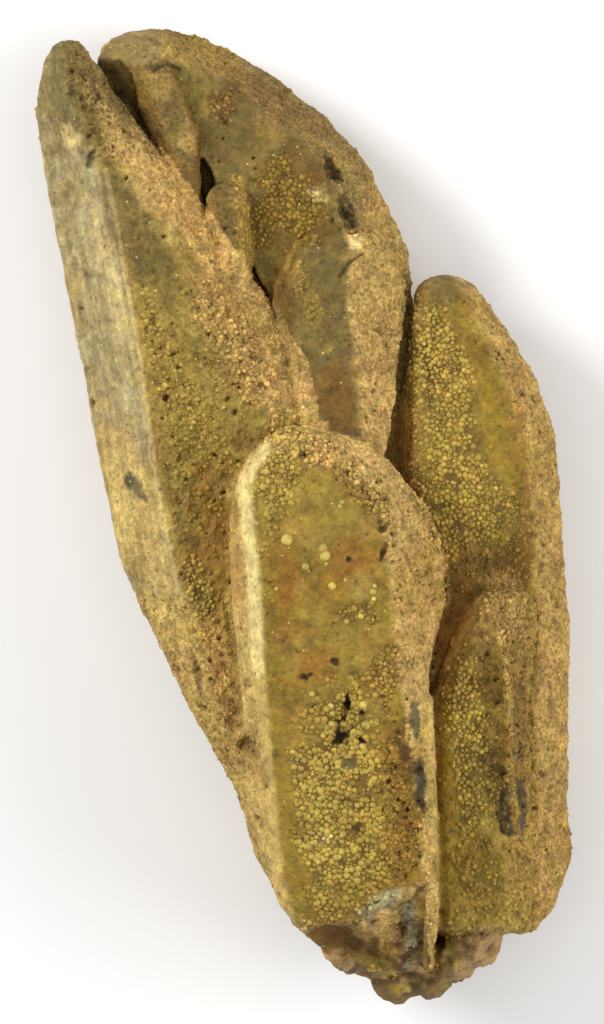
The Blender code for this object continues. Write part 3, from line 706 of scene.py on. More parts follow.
CREASES = (
    # the front crystal's smooth pale rim and the soft groove beside it
    Crease(((26.6, 44.8), (25.2, 46.6), (24.4, 48.6), (24.8, 53.0), (25.3, 57.0), (25.6, 62.0),
            (25.8, 67.3)), 0.72, 0.10, Paint.PALE_KHAKI, 0.9, 0.05),
    Crease(((25.8, 67.3), (26.9, 77.4), (27.8, 87.8), (28.9, 92.4)),
           0.55, 0.08, Paint.LIGHT_TAN, 0.6, 0.05),
    Crease(((25.9, 50.0), (26.5, 57.0), (26.8, 62.0), (27.1, 68.0), (28.2, 77.4), (29.2, 87.8)),
           0.45, -0.16, Paint.OLIVE, 0.5, 0.1),
    # Painted shade in a narrow groove.
    Crease(((34.0, 27.6), (35.0, 26.2), (36.2, 25.4)), 0.16, -0.3, Paint.DARK_BROWN, 0.8),
    Crease(((29.7, 25.6), (29.9, 30.0), (30.4, 36.0), (30.9, 42.6)), 0.35, 0.14),
    Crease(((10.4, 5.9), (15.0, 6.3), (20.4, 6.7), (24.0, 8.6), (27.0, 11.6), (30.0, 14.2),
            (33.0, 16.6), (34.6, 20.2), (36.2, 23.4)), 0.5, 0.18),
    Crease(((42.4, 69.6), (42.9, 78.0), (43.1, 86.0), (43.4, 91.0), (43.0, 97.0)),
           0.30, 0.0, Paint.OCHRE, 0.5, 0.6),
    Crease(((50.5, 66.0), (50.8, 70.0), (51.1, 74.0)), 0.25, 0.1, Paint.TAN, 0.6),
    Crease(((22.4, 62.0), (22.8, 65.4)), 0.3, 0.22, Paint.YELLOW_OLIVE, 0.7),
    # Painted shade in a crack.
    Crease(((15.4, 7.0), (16.6, 6.4), (18.0, 6.9)), 0.2, -0.3, Paint.HOLLOW_SHADE_BROWN, 0.8),
    # the left blade's edge between its smooth face and its grainy front, with a painted highlight: a pale
    # line along it
    Crease(((10.6, 17.0), (11.8, 23.0), (13.0, 30.0), (14.2, 37.0), (15.0, 43.0), (15.8, 49.0),
            (17.0, 55.0), (18.3, 60.5)), 0.22, 0.12, Paint.PALE_KHAKI, 0.35, 0.3),
    Crease(((13.4, 23.0), (16.0, 29.0), (19.0, 34.0)), 0.3, -0.12, Paint.BROWN, 0.3),
)

# Where the broken foot begins: across, down.
BREAK_LINE = (
    (26.0, 96.0), (29.0, 94.4), (30.6, 93.5), (31.6, 92.8), (34.2, 91.9), (36.0, 92.3), (37.5, 91.0),
    (39.3, 89.2), (40.6, 88.4), (42.2, 88.3), (42.6, 90.5), (42.9, 97.5), (43.6, 97.5), (44.0, 94.4),
    (46.4, 93.8), (51.6, 93.4), (54.0, 93.6),
)
FOOT_PATCHES = (
    Patch(34.6, 94.1, 4.3, 1.45, -14, Paint.BROWN, 0.9, edge=0.12, ragged=0.2, rock=0.1, depth=0.2),
    Patch(34.2, 93.8, 3.2, 0.9, -16, Paint.DARK_BROWN, 0.4, ragged=0.2),
    Patch(36.6, 93.4, 0.9, 0.9, 0, Paint.TAN, 0.5, ragged=0.8),
    Patch(38.1, 90.4, 2.6, 0.9, 32, Paint.STONE, 0.8, rock=0.5, pits=0.8, fine=0.5),
    Patch(38.7, 93.0, 1.3, 2.3, 8, Paint.SAND, rock=0.8, fine=0.8, edge=0.15),
    Patch(38.9, 94.9, 0.6, 0.7, 0, Paint.OCHRE, 0.8),
    Patch(40.9, 93.0, 0.8, 3.3, 0, Paint.STONE, rock=0.6, depth=0.1, pits=1.0, fine=0.8),
    Patch(42.0, 91.0, 0.5, 1.6, 0, Paint.TAN, 0.8),
    Patch(37.6, 96.6, 2.4, 0.75, -26, Paint.YELLOW_OLIVE, 0.9, globules=0.6, rock=0.6),
    Patch(40.4, 97.1, 1.4, 0.45, -33, Paint.DARK_BROWN, 0.8, rock=0.2),
    Patch(34.0, 95.9, 1.4, 0.8, -20, Paint.ROCK_PINK, 0.9, rock=1.0),
    Patch(34.5, 95.6, 0.5, 0.4, 0, Paint.RUST, 0.5),
    Patch(48.0, 95.4, 3.2, 2.0, 30, Paint.ROCK_PINK, 0.8, rock=0.7),
    Patch(49.6, 95.2, 0.8, 0.6, 0, Paint.RUST, 0.5),
    Patch(43.8, 95.6, 0.6, 2.0, 0, Paint.BROWN, 0.7, depth=0.2),
    Patch(45.4, 95.6, 0.9, 1.6, 0, Paint.GREEN_GREY, 0.7),
    Patch(41.0, 99.0, 4.6, 1.3, 8, Paint.ROCK_BROWN, 0.8),
    Patch(40.0, 98.9, 1.0, 0.5, 0, Paint.YELLOW_OLIVE, 0.9),
    Patch(32.8, 91.7, 2.8, 0.6, 22, Paint.GREEN_GREY, 0.6, globules=0.8, large=0.0),
)

# Single pale globules of the front crystal: across, down, radius.
SINGLE_GLOBULES = (
    (28.7, 54.0, 0.56), (32.3, 54.7, 0.50), (32.5, 55.6, 0.60), (30.6, 56.7, 0.40), (33.2, 58.6, 0.42),
    (34.2, 50.2, 0.26), (34.0, 50.6, 0.24), (37.3, 59.2, 0.34), (37.5, 58.6, 0.24), (37.4, 59.9, 0.24),
    (34.5, 58.0, 0.20), (25.9, 57.0, 0.20), (26.2, 55.0, 0.20), (32.6, 56.4, 0.20), (27.6, 58.9, 0.18),
    (34.6, 62.2, 0.32), (36.1, 61.6, 0.36), (37.4, 61.9, 0.32), (35.0, 61.0, 0.24), (31.2, 69.4, 0.30),
    (33.1, 70.6, 0.34), (36.4, 70.5, 0.44), (36.6, 72.4, 0.52), (35.4, 73.2, 0.40), (33.2, 72.4, 0.34),
    (34.2, 74.6, 0.36), (36.2, 74.6, 0.46), (30.2, 71.5, 0.26), (35.2, 71.6, 0.34),
)


@dataclass
class Coating:
    """What the crust is like at each point of a surface."""

    tint: Array
    depth: Array
    facing: Array
    grain: Array
    fine: Array
    globules: Array
    large: Array
    pits: Array
    grooves: Array
    rock: Array


@dataclass
class CrustMap:
    """Says how the crust is coloured and shaped at each point of the specimen."""

    view: FrontView = field(default_factory=FrontView)
    line_wobble: float = 0.07
    edge_wobble: float = 0.14
    patch_wobble: float = 0.25
    break_wobble: float = 0.3
    ragged_sizes: tuple[float, float] = (2.2, 0.9)
    edge_size: float = 1.6
    patch_size: float = 2.0
    break_size: float = 1.0
    break_edge: tuple[float, float] = (-0.15, 0.25)
    turned_away: tuple[float, float] = (-0.30, 0.02)
    low_down: tuple[float, float] = (5.0, 9.0)
    side_grain: float = 0.7
    side_fine: float = 0.6
    side_pits: float = 0.25
    knob_size: float = 7.0
    knobs: tuple[float, float] = (0.0, 0.4)

    def coating(self, points: Array, normals: Array) -> Coating:
        """The coating at these points.

        Args:
            points: Positions in metres.
            normals: Outward directions, one for each point.

        Returns:
            The coating, with one value for each point in each of its arrays.
        """
        inner = points / MM
        across, down = self.view.places(points)
        coarse, fine = self.ragged_sizes
        wobbles = (Chance.swell(inner, coarse, 40), Chance.swell(inner, fine, 46))
        straight = (across + self.line_wobble * wobbles[1], down)
        edged = across + self.edge_wobble * Chance.swell(inner, self.edge_size, 43)
        across = across + self.patch_wobble * Chance.swell(inner, self.patch_size, 44)
        down = down + self.patch_wobble * Chance.swell(inner, self.patch_size, 45)
        made = self.side_coating(inner)
        made.facing = eased(normals[:, 2], *self.turned_away) * eased(inner[:, 2], *self.low_down)
        free = np.ones(len(points), dtype=bool)
        for crystal in NEAREST_FIRST:
            inside = free & crystal.inside(edged, down) & (made.facing > 0.0)
            self.coat_faces(made, crystal, inside, edged, down)
            free &= ~inside
        for cloud in MOTTLE_CLOUDS:
            cloud.lay(made.tint, inner)
        for patch in PATCHES:
            self.lay_patch(made, patch, across, down, wobbles)
        for crease in CREASES:
            self.lay_crease(made, crease, *straight)
        self.bare_foot(made, inner, across, down)
        for patch in FOOT_PATCHES:
            self.lay_patch(made, patch, across, down, wobbles)
        return made

    def side_coating(self, inner: Array) -> Coating:
        """The coating of the sides and the back, which the front view doesn't show.

        Args:
            inner: Positions in millimetres.

        Returns:
            The coating, with one value for each point.
        """
        tint = np.tile(Paint.OCHRE.light(), (len(inner), 1))
        for cloud in SIDE_CLOUDS:
            cloud.lay(tint, inner)
        knobbly = eased(Chance.swell(inner, self.knob_size, 80), *self.knobs)
        none = np.zeros(len(inner))
        return Coating(
            tint=tint, depth=none.copy(), facing=none + 1.0, grain=none + self.side_grain,
            fine=none + self.side_fine, globules=knobbly, large=none.copy(), pits=none + self.side_pits,
            grooves=none.copy(), rock=none.copy(),
        )

    def coat_faces(self, made: Coating, crystal: CrystalFaces, inside: Array,
                   across: Array, down: Array) -> None:
        """Lays a crystal's three coats on the points inside its outline.

        Args:
            made: The coating, which is changed.
            crystal: The crystal's outline and coats.
            inside: Which points lie on it.
            across: Places across, in millimetres.
            down: Places down, in millimetres.
        """
        spots = np.nonzero(inside)[0]
        if not len(spots):
            return
        shares = crystal.shares(across[spots], down[spots])
        facing = made.facing[spots]
        tint = sum(share[:, None] * coat.paint.light() for share, coat in zip(shares, crystal.coats))
        made.tint[spots] += facing[:, None] * (tint - made.tint[spots])
        for name in TRAITS:
            value = sum(share * getattr(coat, name) for share, coat in zip(shares, crystal.coats))
            held = getattr(made, name)
            held[spots] += facing * (value - held[spots])

    def lay_patch(self, made: Coating, patch: Patch, across: Array, down: Array,
                  wobbles: tuple[Array, ...]) -> None:
        """Lays one patch over the coating, where the surface faces the front.

        Args:
            made: The coating, which is changed.
            patch: The patch to lay.
            across: Places across, in millimetres.
            down: Places down, in millimetres.
            wobbles: Coarse and fine noise that makes the edge ragged.
        """
        reach = 1.8 * max(patch.half_width, patch.half_length)
        near = (abs(across - patch.across) < reach) & (abs(down - patch.down) < reach)
        spots = np.nonzero(near)[0]
        if not len(spots):
            return
        weight = patch.weight(across[spots], down[spots], tuple(wobble[spots] for wobble in wobbles))
        weight = weight * made.facing[spots]
        if patch.paint is not None:
            share = (weight * patch.strength)[:, None]
            made.tint[spots] += share * (patch.paint.light() - made.tint[spots])
        for name in TRAITS:
            value = getattr(patch, name)
            if value is not None:
                held = getattr(made, name)
                held[spots] += weight * (value - held[spots])
        made.depth[spots] += weight * patch.depth

    def lay_crease(self, made: Coating, crease: Crease, across: Array, down: Array) -> None:
        """Raises or hollows the coating along one line.

        Args:
            made: The coating, which is changed.
            crease: The line to follow.
            across: Places across, in millimetres.
            down: Places down, in millimetres.
        """
        weight = crease.weight(across, down) * made.facing
        made.depth -= weight * crease.height
        if crease.paint is not None:
            mix(made.tint, crease.paint, weight * crease.strength)
        if crease.roughness is not None:
            for name in ("grain", "fine", "globules", "large", "pits"):
                held = getattr(made, name)
                held += weight * (crease.roughness * (name in ("grain", "fine")) - held)

    def bare_foot(self, made: Coating, inner: Array, across: Array, down: Array) -> None:
        """Bares the rock beyond the line where the foot broke off.

        Args:
            made: The coating, which is changed.
            inner: Positions in millimetres.
            across: Places across, in millimetres.
            down: Places down, in millimetres.
        """
        line = np.interp(across, *zip(*BREAK_LINE))
        wobble = self.break_wobble * Chance.swell(inner, self.break_size, 47)
        bare = eased(down - line + wobble, *self.break_edge)
        rock = np.tile(Paint.ROCK_BROWN.light(), (len(inner), 1))
        for cloud in ROCK_CLOUDS:
            cloud.lay(rock, inner)
        made.tint += bare[:, None] * (rock - made.tint)
        for name in ("fine", "globules", "large", "pits", "grain"):
            held = getattr(made, name)
            held *= 1.0 - bare
        made.rock += bare * (1.0 - made.rock)


@dataclass
class CrustRelief:
    """Raises and hollows the crust, in millimetres along the surface's normal."""

    swell_size: float = 13.0
    swell_height: float = 0.26
    lump_size: float = 3.2
    lump_height: float = 0.13
    grain_size: float = 0.60
    grain_height: float = 0.15
    least_grain: float = 0.4
    rough_size: float = 0.95
    rough_height: float = 0.27
    cluster_size: float = 1.5
    cluster_height: float = 0.16
    pit_size: float = 0.85
    pit_depth: float = 0.55
    pit_width: tuple[float, float] = (0.24, 0.30)
    pit_floor: float = 0.35
    pit_choice: float = 0.05
    groove_size: float = 0.7
    groove_depth: float = 0.06
    crag_size: float = 1.9
    crag_height: float = 0.50
    crag_top: float = 0.7
    crag_slope: float = 2.0
    small_crag_size: float = 0.9
    small_crag_share: float = 0.4
    side_crag_size: float = 6.0
    bend_size: float = 0.8
    bend: float = 0.24
    dome_reach: float = 0.8
    dome_middle: float = 0.45
    plain_roughness: float = 0.12
    groove_lean: tuple[float, float] = (0.97, 0.24)
    groove_stretch: float = 0.06

    def heights(self, inner: Array, coating: Coating) -> Array:
        """How far each point is raised.

        Args:
            inner: Positions in millimetres.
            coating: The coating at those points.

        Returns:
            Heights in millimetres.
        """
        height = self.swell_height * Chance.swell(inner, self.swell_size, 3)
        height += self.lump_height * Chance.swell(inner, self.lump_size, 9)
        bent = Chance.bent(inner, self.bend_size, self.bend, 11)
        near, number = Chance.cells(bent, self.grain_size, 21)
        dome = np.sqrt(np.clip(1.0 - (near / (self.dome_reach * self.grain_size)) ** 2, 0.0, 1.0))
        grains = dome * (self.least_grain + number) - self.dome_middle
        height += self.grain_height * coating.grain * grains
        rough = Chance.swell(inner, self.rough_size, 17)
        height += self.rough_height * (self.plain_roughness + coating.grain ** 2) * rough
        knobbly = np.maximum(coating.globules, coating.large)
        height += self.cluster_height * knobbly * Chance.swell(inner, self.cluster_size, 31)
        height -= self.pits(bent, coating)
        across_axis = inner[:, 0] * self.groove_lean[0] + inner[:, 1] * self.groove_lean[1]
        stretched = np.stack((across_axis, inner[:, 1] * self.groove_stretch, inner[:, 2]), axis=1)
        height += self.groove_depth * coating.grooves * Chance.waves(stretched, self.groove_size, 61)
        crag = self.crag_top - self.crag_slope * np.abs(Chance.swell(inner, self.crag_size, 71))
        small_crag = Chance.swell(inner, self.small_crag_size, 75)
        broken = (1.0 - self.small_crag_share) * crag + self.small_crag_share * small_crag
        broken -= (1.0 - coating.facing) * (1.0 + Chance.swell(inner, self.side_crag_size, 77))
        height += self.crag_height * coating.rock * broken
        return height - coating.depth

    def pits(self, bent: Array, coating: Coating) -> Array:
        """How deep each point lies in a pit.

        Args:
            bent: Positions in millimetres, each moved a little.
            coating: The coating at those points.

        Returns:
            Depths in millimetres.
        """
        near, number = Chance.cells(bent, self.pit_size, 33)
        least, more = self.pit_width
        wide = (least + more * number * number) * self.pit_size
        pit = 1.0 - eased(near, self.pit_floor * wide, wide)
        choice = Chance.hashed(np.floor(number * 1e6)[:, None] * (1, 3, 7), 5)
        return self.pit_depth * pit * eased(coating.pits - choice, 0.0, self.pit_choice)


@dataclass
class MeshArrays:
    """Reads and smooths a mesh as arrays."""

    mesh: bpy.types.Mesh

    def points(self) -> Array:
        """The vertices' positions, one row each."""
        flat = np.empty(len(self.mesh.vertices) * 3)
        self.mesh.vertices.foreach_get("co", flat)
        return flat.reshape(-1, 3)

    def normals(self) -> Array:
        """The vertices' normals, one row each."""
        flat = np.empty(len(self.mesh.vertices) * 3)
        self.mesh.vertex_normals.foreach_get("vector", flat)
        return flat.reshape(-1, 3)

    def move_to(self, points: Array) -> None:
        """Puts the vertices at these positions."""
        self.mesh.vertices.foreach_set("co", points.ravel())
        self.mesh.update()

    def smoothed(self, points: Array, rounds: int) -> Array:
        """The positions after each has moved toward the middle of its neighbours.

        Args:
            points: Positions, one row for each vertex.
            rounds: How many times to move them.

        Returns:
            The new positions.
        """
        flat = np.empty(len(self.mesh.edges) * 2, dtype=np.int64)
        self.mesh.edges.foreach_get("vertices", flat)
        ends = flat.reshape(-1, 2)
        start = np.concatenate((ends[:, 0], ends[:, 1]))
        other = np.concatenate((ends[:, 1], ends[:, 0]))
        count = len(points)
        links = np.bincount(start, minlength=count)[:, None].clip(1)
        for _ in range(rounds):
            total = np.stack([np.bincount(start, points[other, k], count) for k in range(3)], axis=1)
            points = points + 0.5 * (total / links - points)
        return points

    def write_float(self, name: str, values: Array) -> None:
        """Keeps one number for each vertex under this name."""
        held = self.mesh.attributes.new(name, "FLOAT", "POINT")
        held.data.foreach_set("value", values.astype(np.float32))

    def read_float(self, name: str) -> Array:
        """The numbers kept under this name."""
        values = np.empty(len(self.mesh.vertices), dtype=np.float32)
        self.mesh.attributes[name].data.foreach_get("value", values)
        return values.astype(float)

    def write_color(self, name: str, tint: Array) -> None:
        """Keeps one colour for each vertex under this name."""
        held = self.mesh.attributes.new(name, "FLOAT_COLOR", "POINT")
        full = np.concatenate((tint, np.ones((len(tint), 1))), axis=1)
        held.data.foreach_set("color", full.astype(np.float32).ravel())


def linked(name: str, data: bpy.types.ID) -> bpy.types.Object:
    """A new object of this mesh, light or camera, linked to the scene."""
    made = bpy.data.objects.new(name, data)
    bpy.context.scene.collection.objects.link(made)
    return made


def flat_copy(source: bpy.types.Object, name: str) -> bpy.types.Object:
    """A plain mesh object with the source's modifiers applied.

    Args:
        source: The object to copy.
        name: The name of the copy.

    Returns:
        The new object, linked to the scene.
    """
    graph = bpy.context.evaluated_depsgraph_get()
    mesh = bpy.data.meshes.new_from_object(source.evaluated_get(graph), depsgraph=graph)
    mesh.name = name
    return linked(name, mesh)


@dataclass
class Wiring:
    """Adds nodes to a tree and joins them up."""

    tree: bpy.types.NodeTree

    def add(self, kind: str, inputs: dict | None = None, **settings: Any) -> bpy.types.Node:
        """Adds one node.

        Args:
            kind: The node's type.
            inputs: For each input, its value or the socket that feeds it.
            settings: The node's own settings.

        Returns:
            The node.
        """
        node = self.tree.nodes.new(kind)
        for name, value in settings.items():
            setattr(node, name, value)
        for name, value in (inputs or {}).items():
            if isinstance(value, Socket):
                self.tree.links.new(value, node.inputs[name])
            else:
                node.inputs[name].default_value = value
        return node

    def value(self, kind: str, inputs: dict | None = None, **settings: Any) -> Socket:
        """Adds one node and gives its first live output."""
        node = self.add(kind, inputs, **settings)
        return next(output for output in node.outputs if output.enabled)

    def attribute(self, name: str, output: str = "Fac") -> Socket:
        """What the mesh keeps under this name, as a material reads it."""
        return self.add("ShaderNodeAttribute", attribute_name=name).outputs[output]

    def kept(self, name: str, data_type: str = "FLOAT") -> Socket:
        """What the mesh keeps under this name, as Geometry Nodes read it."""
        return self.value("GeometryNodeInputNamedAttribute", {"Name": name}, data_type=data_type)

    def keep(self, geometry: Socket, name: str, value: Socket, data_type: str = "FLOAT") -> Socket:
        """The geometry, with the value kept under this name at each point."""
        return self.value("GeometryNodeStoreNamedAttribute",
                          {"Geometry": geometry, "Name": name, "Value": value},
                          data_type=data_type, domain="POINT")

    def noise(self, place: Socket, scale: float, detail: float) -> Socket:
        """A noise on these coordinates."""
        return self.value("ShaderNodeTexNoise", {"Vector": place, "Scale": scale, "Detail": detail,
                                                 "Roughness": 0.6})

    def ranged(self, value: Socket, old: tuple[float, float],
               new: tuple[float, float]) -> Socket:
        """The value moved from one range to another, and held within it."""
        sizes = {"From Min": old[0], "From Max": old[1], "To Min": new[0], "To Max": new[1]}
        return self.value("ShaderNodeMapRange", {"Value": value, **sizes})

    def math(self, operation: str, first: Feed, second: Feed) -> Socket:
        """A sum, a product or the like of two values."""
        return self.value("ShaderNodeMath", {0: first, 1: second}, operation=operation)


@dataclass(frozen=True)
class CrustFinish:
    """The crust's material: dull, grainy, and coloured by the attributes that the mesh keeps.

    A scale is the number of a pattern's cells in a metre, and a relief is in metres.
    """

    name: str
    speckle: float = 0.28
    speck_rise: tuple[float, float] = (0.0, 0.8)
    speck_strengths: tuple[float, float] = (0.5, 1.1)
    spread: float = 0.30
    bump: float = 1.0
    smooth_bump: float = 0.5
    roughness: tuple[float, float] = (0.62, 0.9)
    middle: tuple[float, float] = (0.3, 0.7)
    specular: float = 0.25
    speck_scale: float = 2300.0
    mottle_scale: float = 950.0
    mottle_spread: float = 0.28
    cloud_scale: float = 240.0
    cloud_spread: float = 0.14
    grain_scale: float = 2500.0
    # Painted shading of the grains: lighter middles and darker gaps.
    grain_gaps: tuple[float, float] = (0.25, 0.80)
    grain_shading: tuple[float, float] = (1.20, 0.66)
    grain_shares: tuple[float, float] = (0.15, 0.75)
    hue_scale: float = 380.0
    hues: tuple[float, float] = (0.492, 0.508)
    # The painted glints.
    glint_cell_scale: float = 6200.0
    glints: tuple[float, float] = (0.9975, 0.9985)
    glint_strength: float = 0.8
    # Painted shade in the pores.
    pore_scale: float = 1900.0
    pore_limits: tuple[float, float] = (0.35, 0.43)
    pore_edge: float = 0.05
    pore_shade_strength: float = 0.75
    streak_scale: float = 1900.0
    streak_spread: float = 0.24
    streak_lean: float = 0.2
    streak_stretch: tuple[float, float, float] = (1.0, 18.0, 3.0)
    mottle_relief: float = 0.00050
    grain_relief: float = 0.00016

    def build(self) -> bpy.types.Material:
        """Makes the material.

        Returns:
            The finished material.
        """
        material = bpy.data.materials.new(self.name)
        material.use_nodes = True
        wire = Wiring(material.node_tree)
        place = wire.add("ShaderNodeTexCoord").outputs["Object"]
        fine = wire.attribute("fine")
        mottle = wire.noise(place, self.mottle_scale, 4.0)
        cells = wire.add("ShaderNodeTexVoronoi", {"Vector": place, "Scale": self.grain_scale})
        gaps = cells.outputs["Distance"]
        light = self.brightness(wire, place, mottle, fine)
        # Painted shading: lighter grain middles and painted shade in the gaps between grains.
        light = wire.math("MULTIPLY", light, self.granular(wire, gaps, fine))
        light = wire.math("MULTIPLY", light, self.streaked(wire, place))
        color = wire.add("ShaderNodeMix", {"Factor": 1.0, "A": wire.attribute("tint", "Color"), "B": light},
                         data_type="RGBA", blend_type="MULTIPLY").outputs["Result"]
        hue = wire.ranged(wire.noise(place, self.hue_scale, 2.0), self.middle, self.hues)
        color = wire.value("ShaderNodeHueSaturation", {"Hue": hue, "Color": color})
        # Painted shade: pores mixed toward dark brown.
        color = self.mixed(wire, self.pores(wire, place), color, Paint.DARK_BROWN)
        # Painted glints: a few tiny specks are mixed toward pale khaki as highlights.
        color = self.mixed(wire, self.glinting(wire, place), color, Paint.PALE_KHAKI)
        shader = material.node_tree.nodes["Principled BSDF"]
        links = material.node_tree.links
        links.new(color, shader.inputs["Base Color"])
        links.new(wire.ranged(mottle, self.middle, self.roughness), shader.inputs["Roughness"])
        links.new(self.raised(wire, mottle, gaps, fine), shader.inputs["Normal"])
        shader.inputs["Specular IOR Level"].default_value = self.specular
        return material

    @staticmethod
    def mixed(wire: Wiring, share: Socket, color: Socket, paint: Paint) -> Socket:
        """The colour with this share of a paint mixed in."""
        return wire.add("ShaderNodeMix", {"Factor": share, "A": color, "B": (*paint.light(), 1.0)},
                        data_type="RGBA").outputs["Result"]

    def pores(self, wire: Wiring, place: Socket) -> Socket:
        """Painted shade in the pores: how dark they are; there are more of them where the crust is pitted.

        Args:
            wire: The material's tree.
            place: The object's own coordinates.

        Returns:
            The share of dark brown.
        """
        noise = wire.noise(place, self.pore_scale, 3.0)
        limit = wire.ranged(wire.attribute("specks"), (0.0, 1.0), self.pore_limits)
        depth = wire.math("SUBTRACT", limit, noise)
        return wire.ranged(depth, (0.0, self.pore_edge), (0.0, self.pore_shade_strength))

    def glinting(self, wire: Wiring, place: Socket) -> Socket:
        """Painted glints: which few cells of a fine pattern are mixed toward pale khaki as highlights.

        Args:
            wire: The material's tree.
            place: The object's own coordinates.

        Returns:
            The share of pale khaki.
        """
        glint_cells = wire.add("ShaderNodeTexVoronoi", {"Vector": place, "Scale": self.glint_cell_scale})
        number = wire.add("ShaderNodeSeparateColor", {"Color": glint_cells.outputs["Color"]}).outputs["Red"]
        return wire.ranged(number, self.glints, (0.0, self.glint_strength))

    def brightness(self, wire: Wiring, place: Socket, mottle: Socket, fine: Socket) -> Socket:
        """Light and dark in clouds, mottles and specks, and from globule to globule.

        Args:
            wire: The material's tree.
            place: The object's own coordinates.
            mottle: The noise that the brightness shares.
            fine: How granular the crust is.

        Returns:
            What the tint is multiplied by.
        """
        speck = wire.noise(place, self.speck_scale, 2.0)
        specks = wire.ranged(speck, self.middle, (-self.speckle, self.speckle))
        strength = wire.ranged(fine, self.speck_rise, self.speck_strengths)
        light = wire.math("ADD", wire.math("MULTIPLY", specks, strength), 1.0)
        clouds = wire.noise(place, self.cloud_scale, 3.0)
        for value, reach, spread in ((clouds, self.middle, self.cloud_spread),
                                     (mottle, self.middle, self.mottle_spread),
                                     (wire.attribute("shade"), (0.0, 1.0), self.spread)):
            change = wire.ranged(value, reach, (1.0 - spread, 1.0 + spread))
            light = wire.math("MULTIPLY", light, change)
        return light

    def granular(self, wire: Wiring, gaps: Socket, fine: Socket) -> Socket:
        """Painted shading of the grains: lighter middles and painted shade in the gaps between them, where
        the crust is granular.

        Args:
            wire: The material's tree.
            gaps: The distance from the middle of each grain.
            fine: How granular the crust is.

        Returns:
            What the tint is multiplied by.
        """
        light = wire.ranged(gaps, self.grain_gaps, self.grain_shading)
        share = wire.ranged(fine, (0.0, 1.0), self.grain_shares)
        change = wire.math("MULTIPLY", wire.math("SUBTRACT", light, 1.0), share)
        return wire.math("ADD", change, 1.0)

    def streaked(self, wire: Wiring, place: Socket) -> Socket:
        """Thin light and dark streaks along the left blade, where the crust is grooved.

        Args:
            wire: The material's tree.
            place: The object's own coordinates.

        Returns:
            What the tint is multiplied by.
        """
        drawn = wire.value("ShaderNodeMapping", {"Vector": place, "Rotation": (0.0, 0.0, self.streak_lean),
                                                 "Scale": self.streak_stretch}, vector_type="TEXTURE")
        streak = wire.ranged(wire.noise(drawn, self.streak_scale, 3.0), self.middle,
                             (-self.streak_spread, self.streak_spread))
        return wire.math("ADD", wire.math("MULTIPLY", streak, wire.attribute("grooves")), 1.0)

    def raised(self, wire: Wiring, mottle: Socket, gaps: Socket, fine: Socket) -> Socket:
        """The finest relief, stronger where the crust is granular.

        Args:
            wire: The material's tree.
            mottle: The noise that raises the surface.
            gaps: The distance from the middle of each grain.
            fine: How granular the crust is.

        Returns:
            The surface's normal.
        """
        strength = wire.ranged(fine, (0.0, 1.0), (self.smooth_bump * self.bump, self.bump))
        first = wire.value("ShaderNodeBump", {"Strength": strength, "Distance": self.mottle_relief,
                                              "Height": mottle})
        return wire.value("ShaderNodeBump", {"Strength": strength, "Distance": self.grain_relief,
                                             "Height": gaps, "Normal": first}, invert=True)


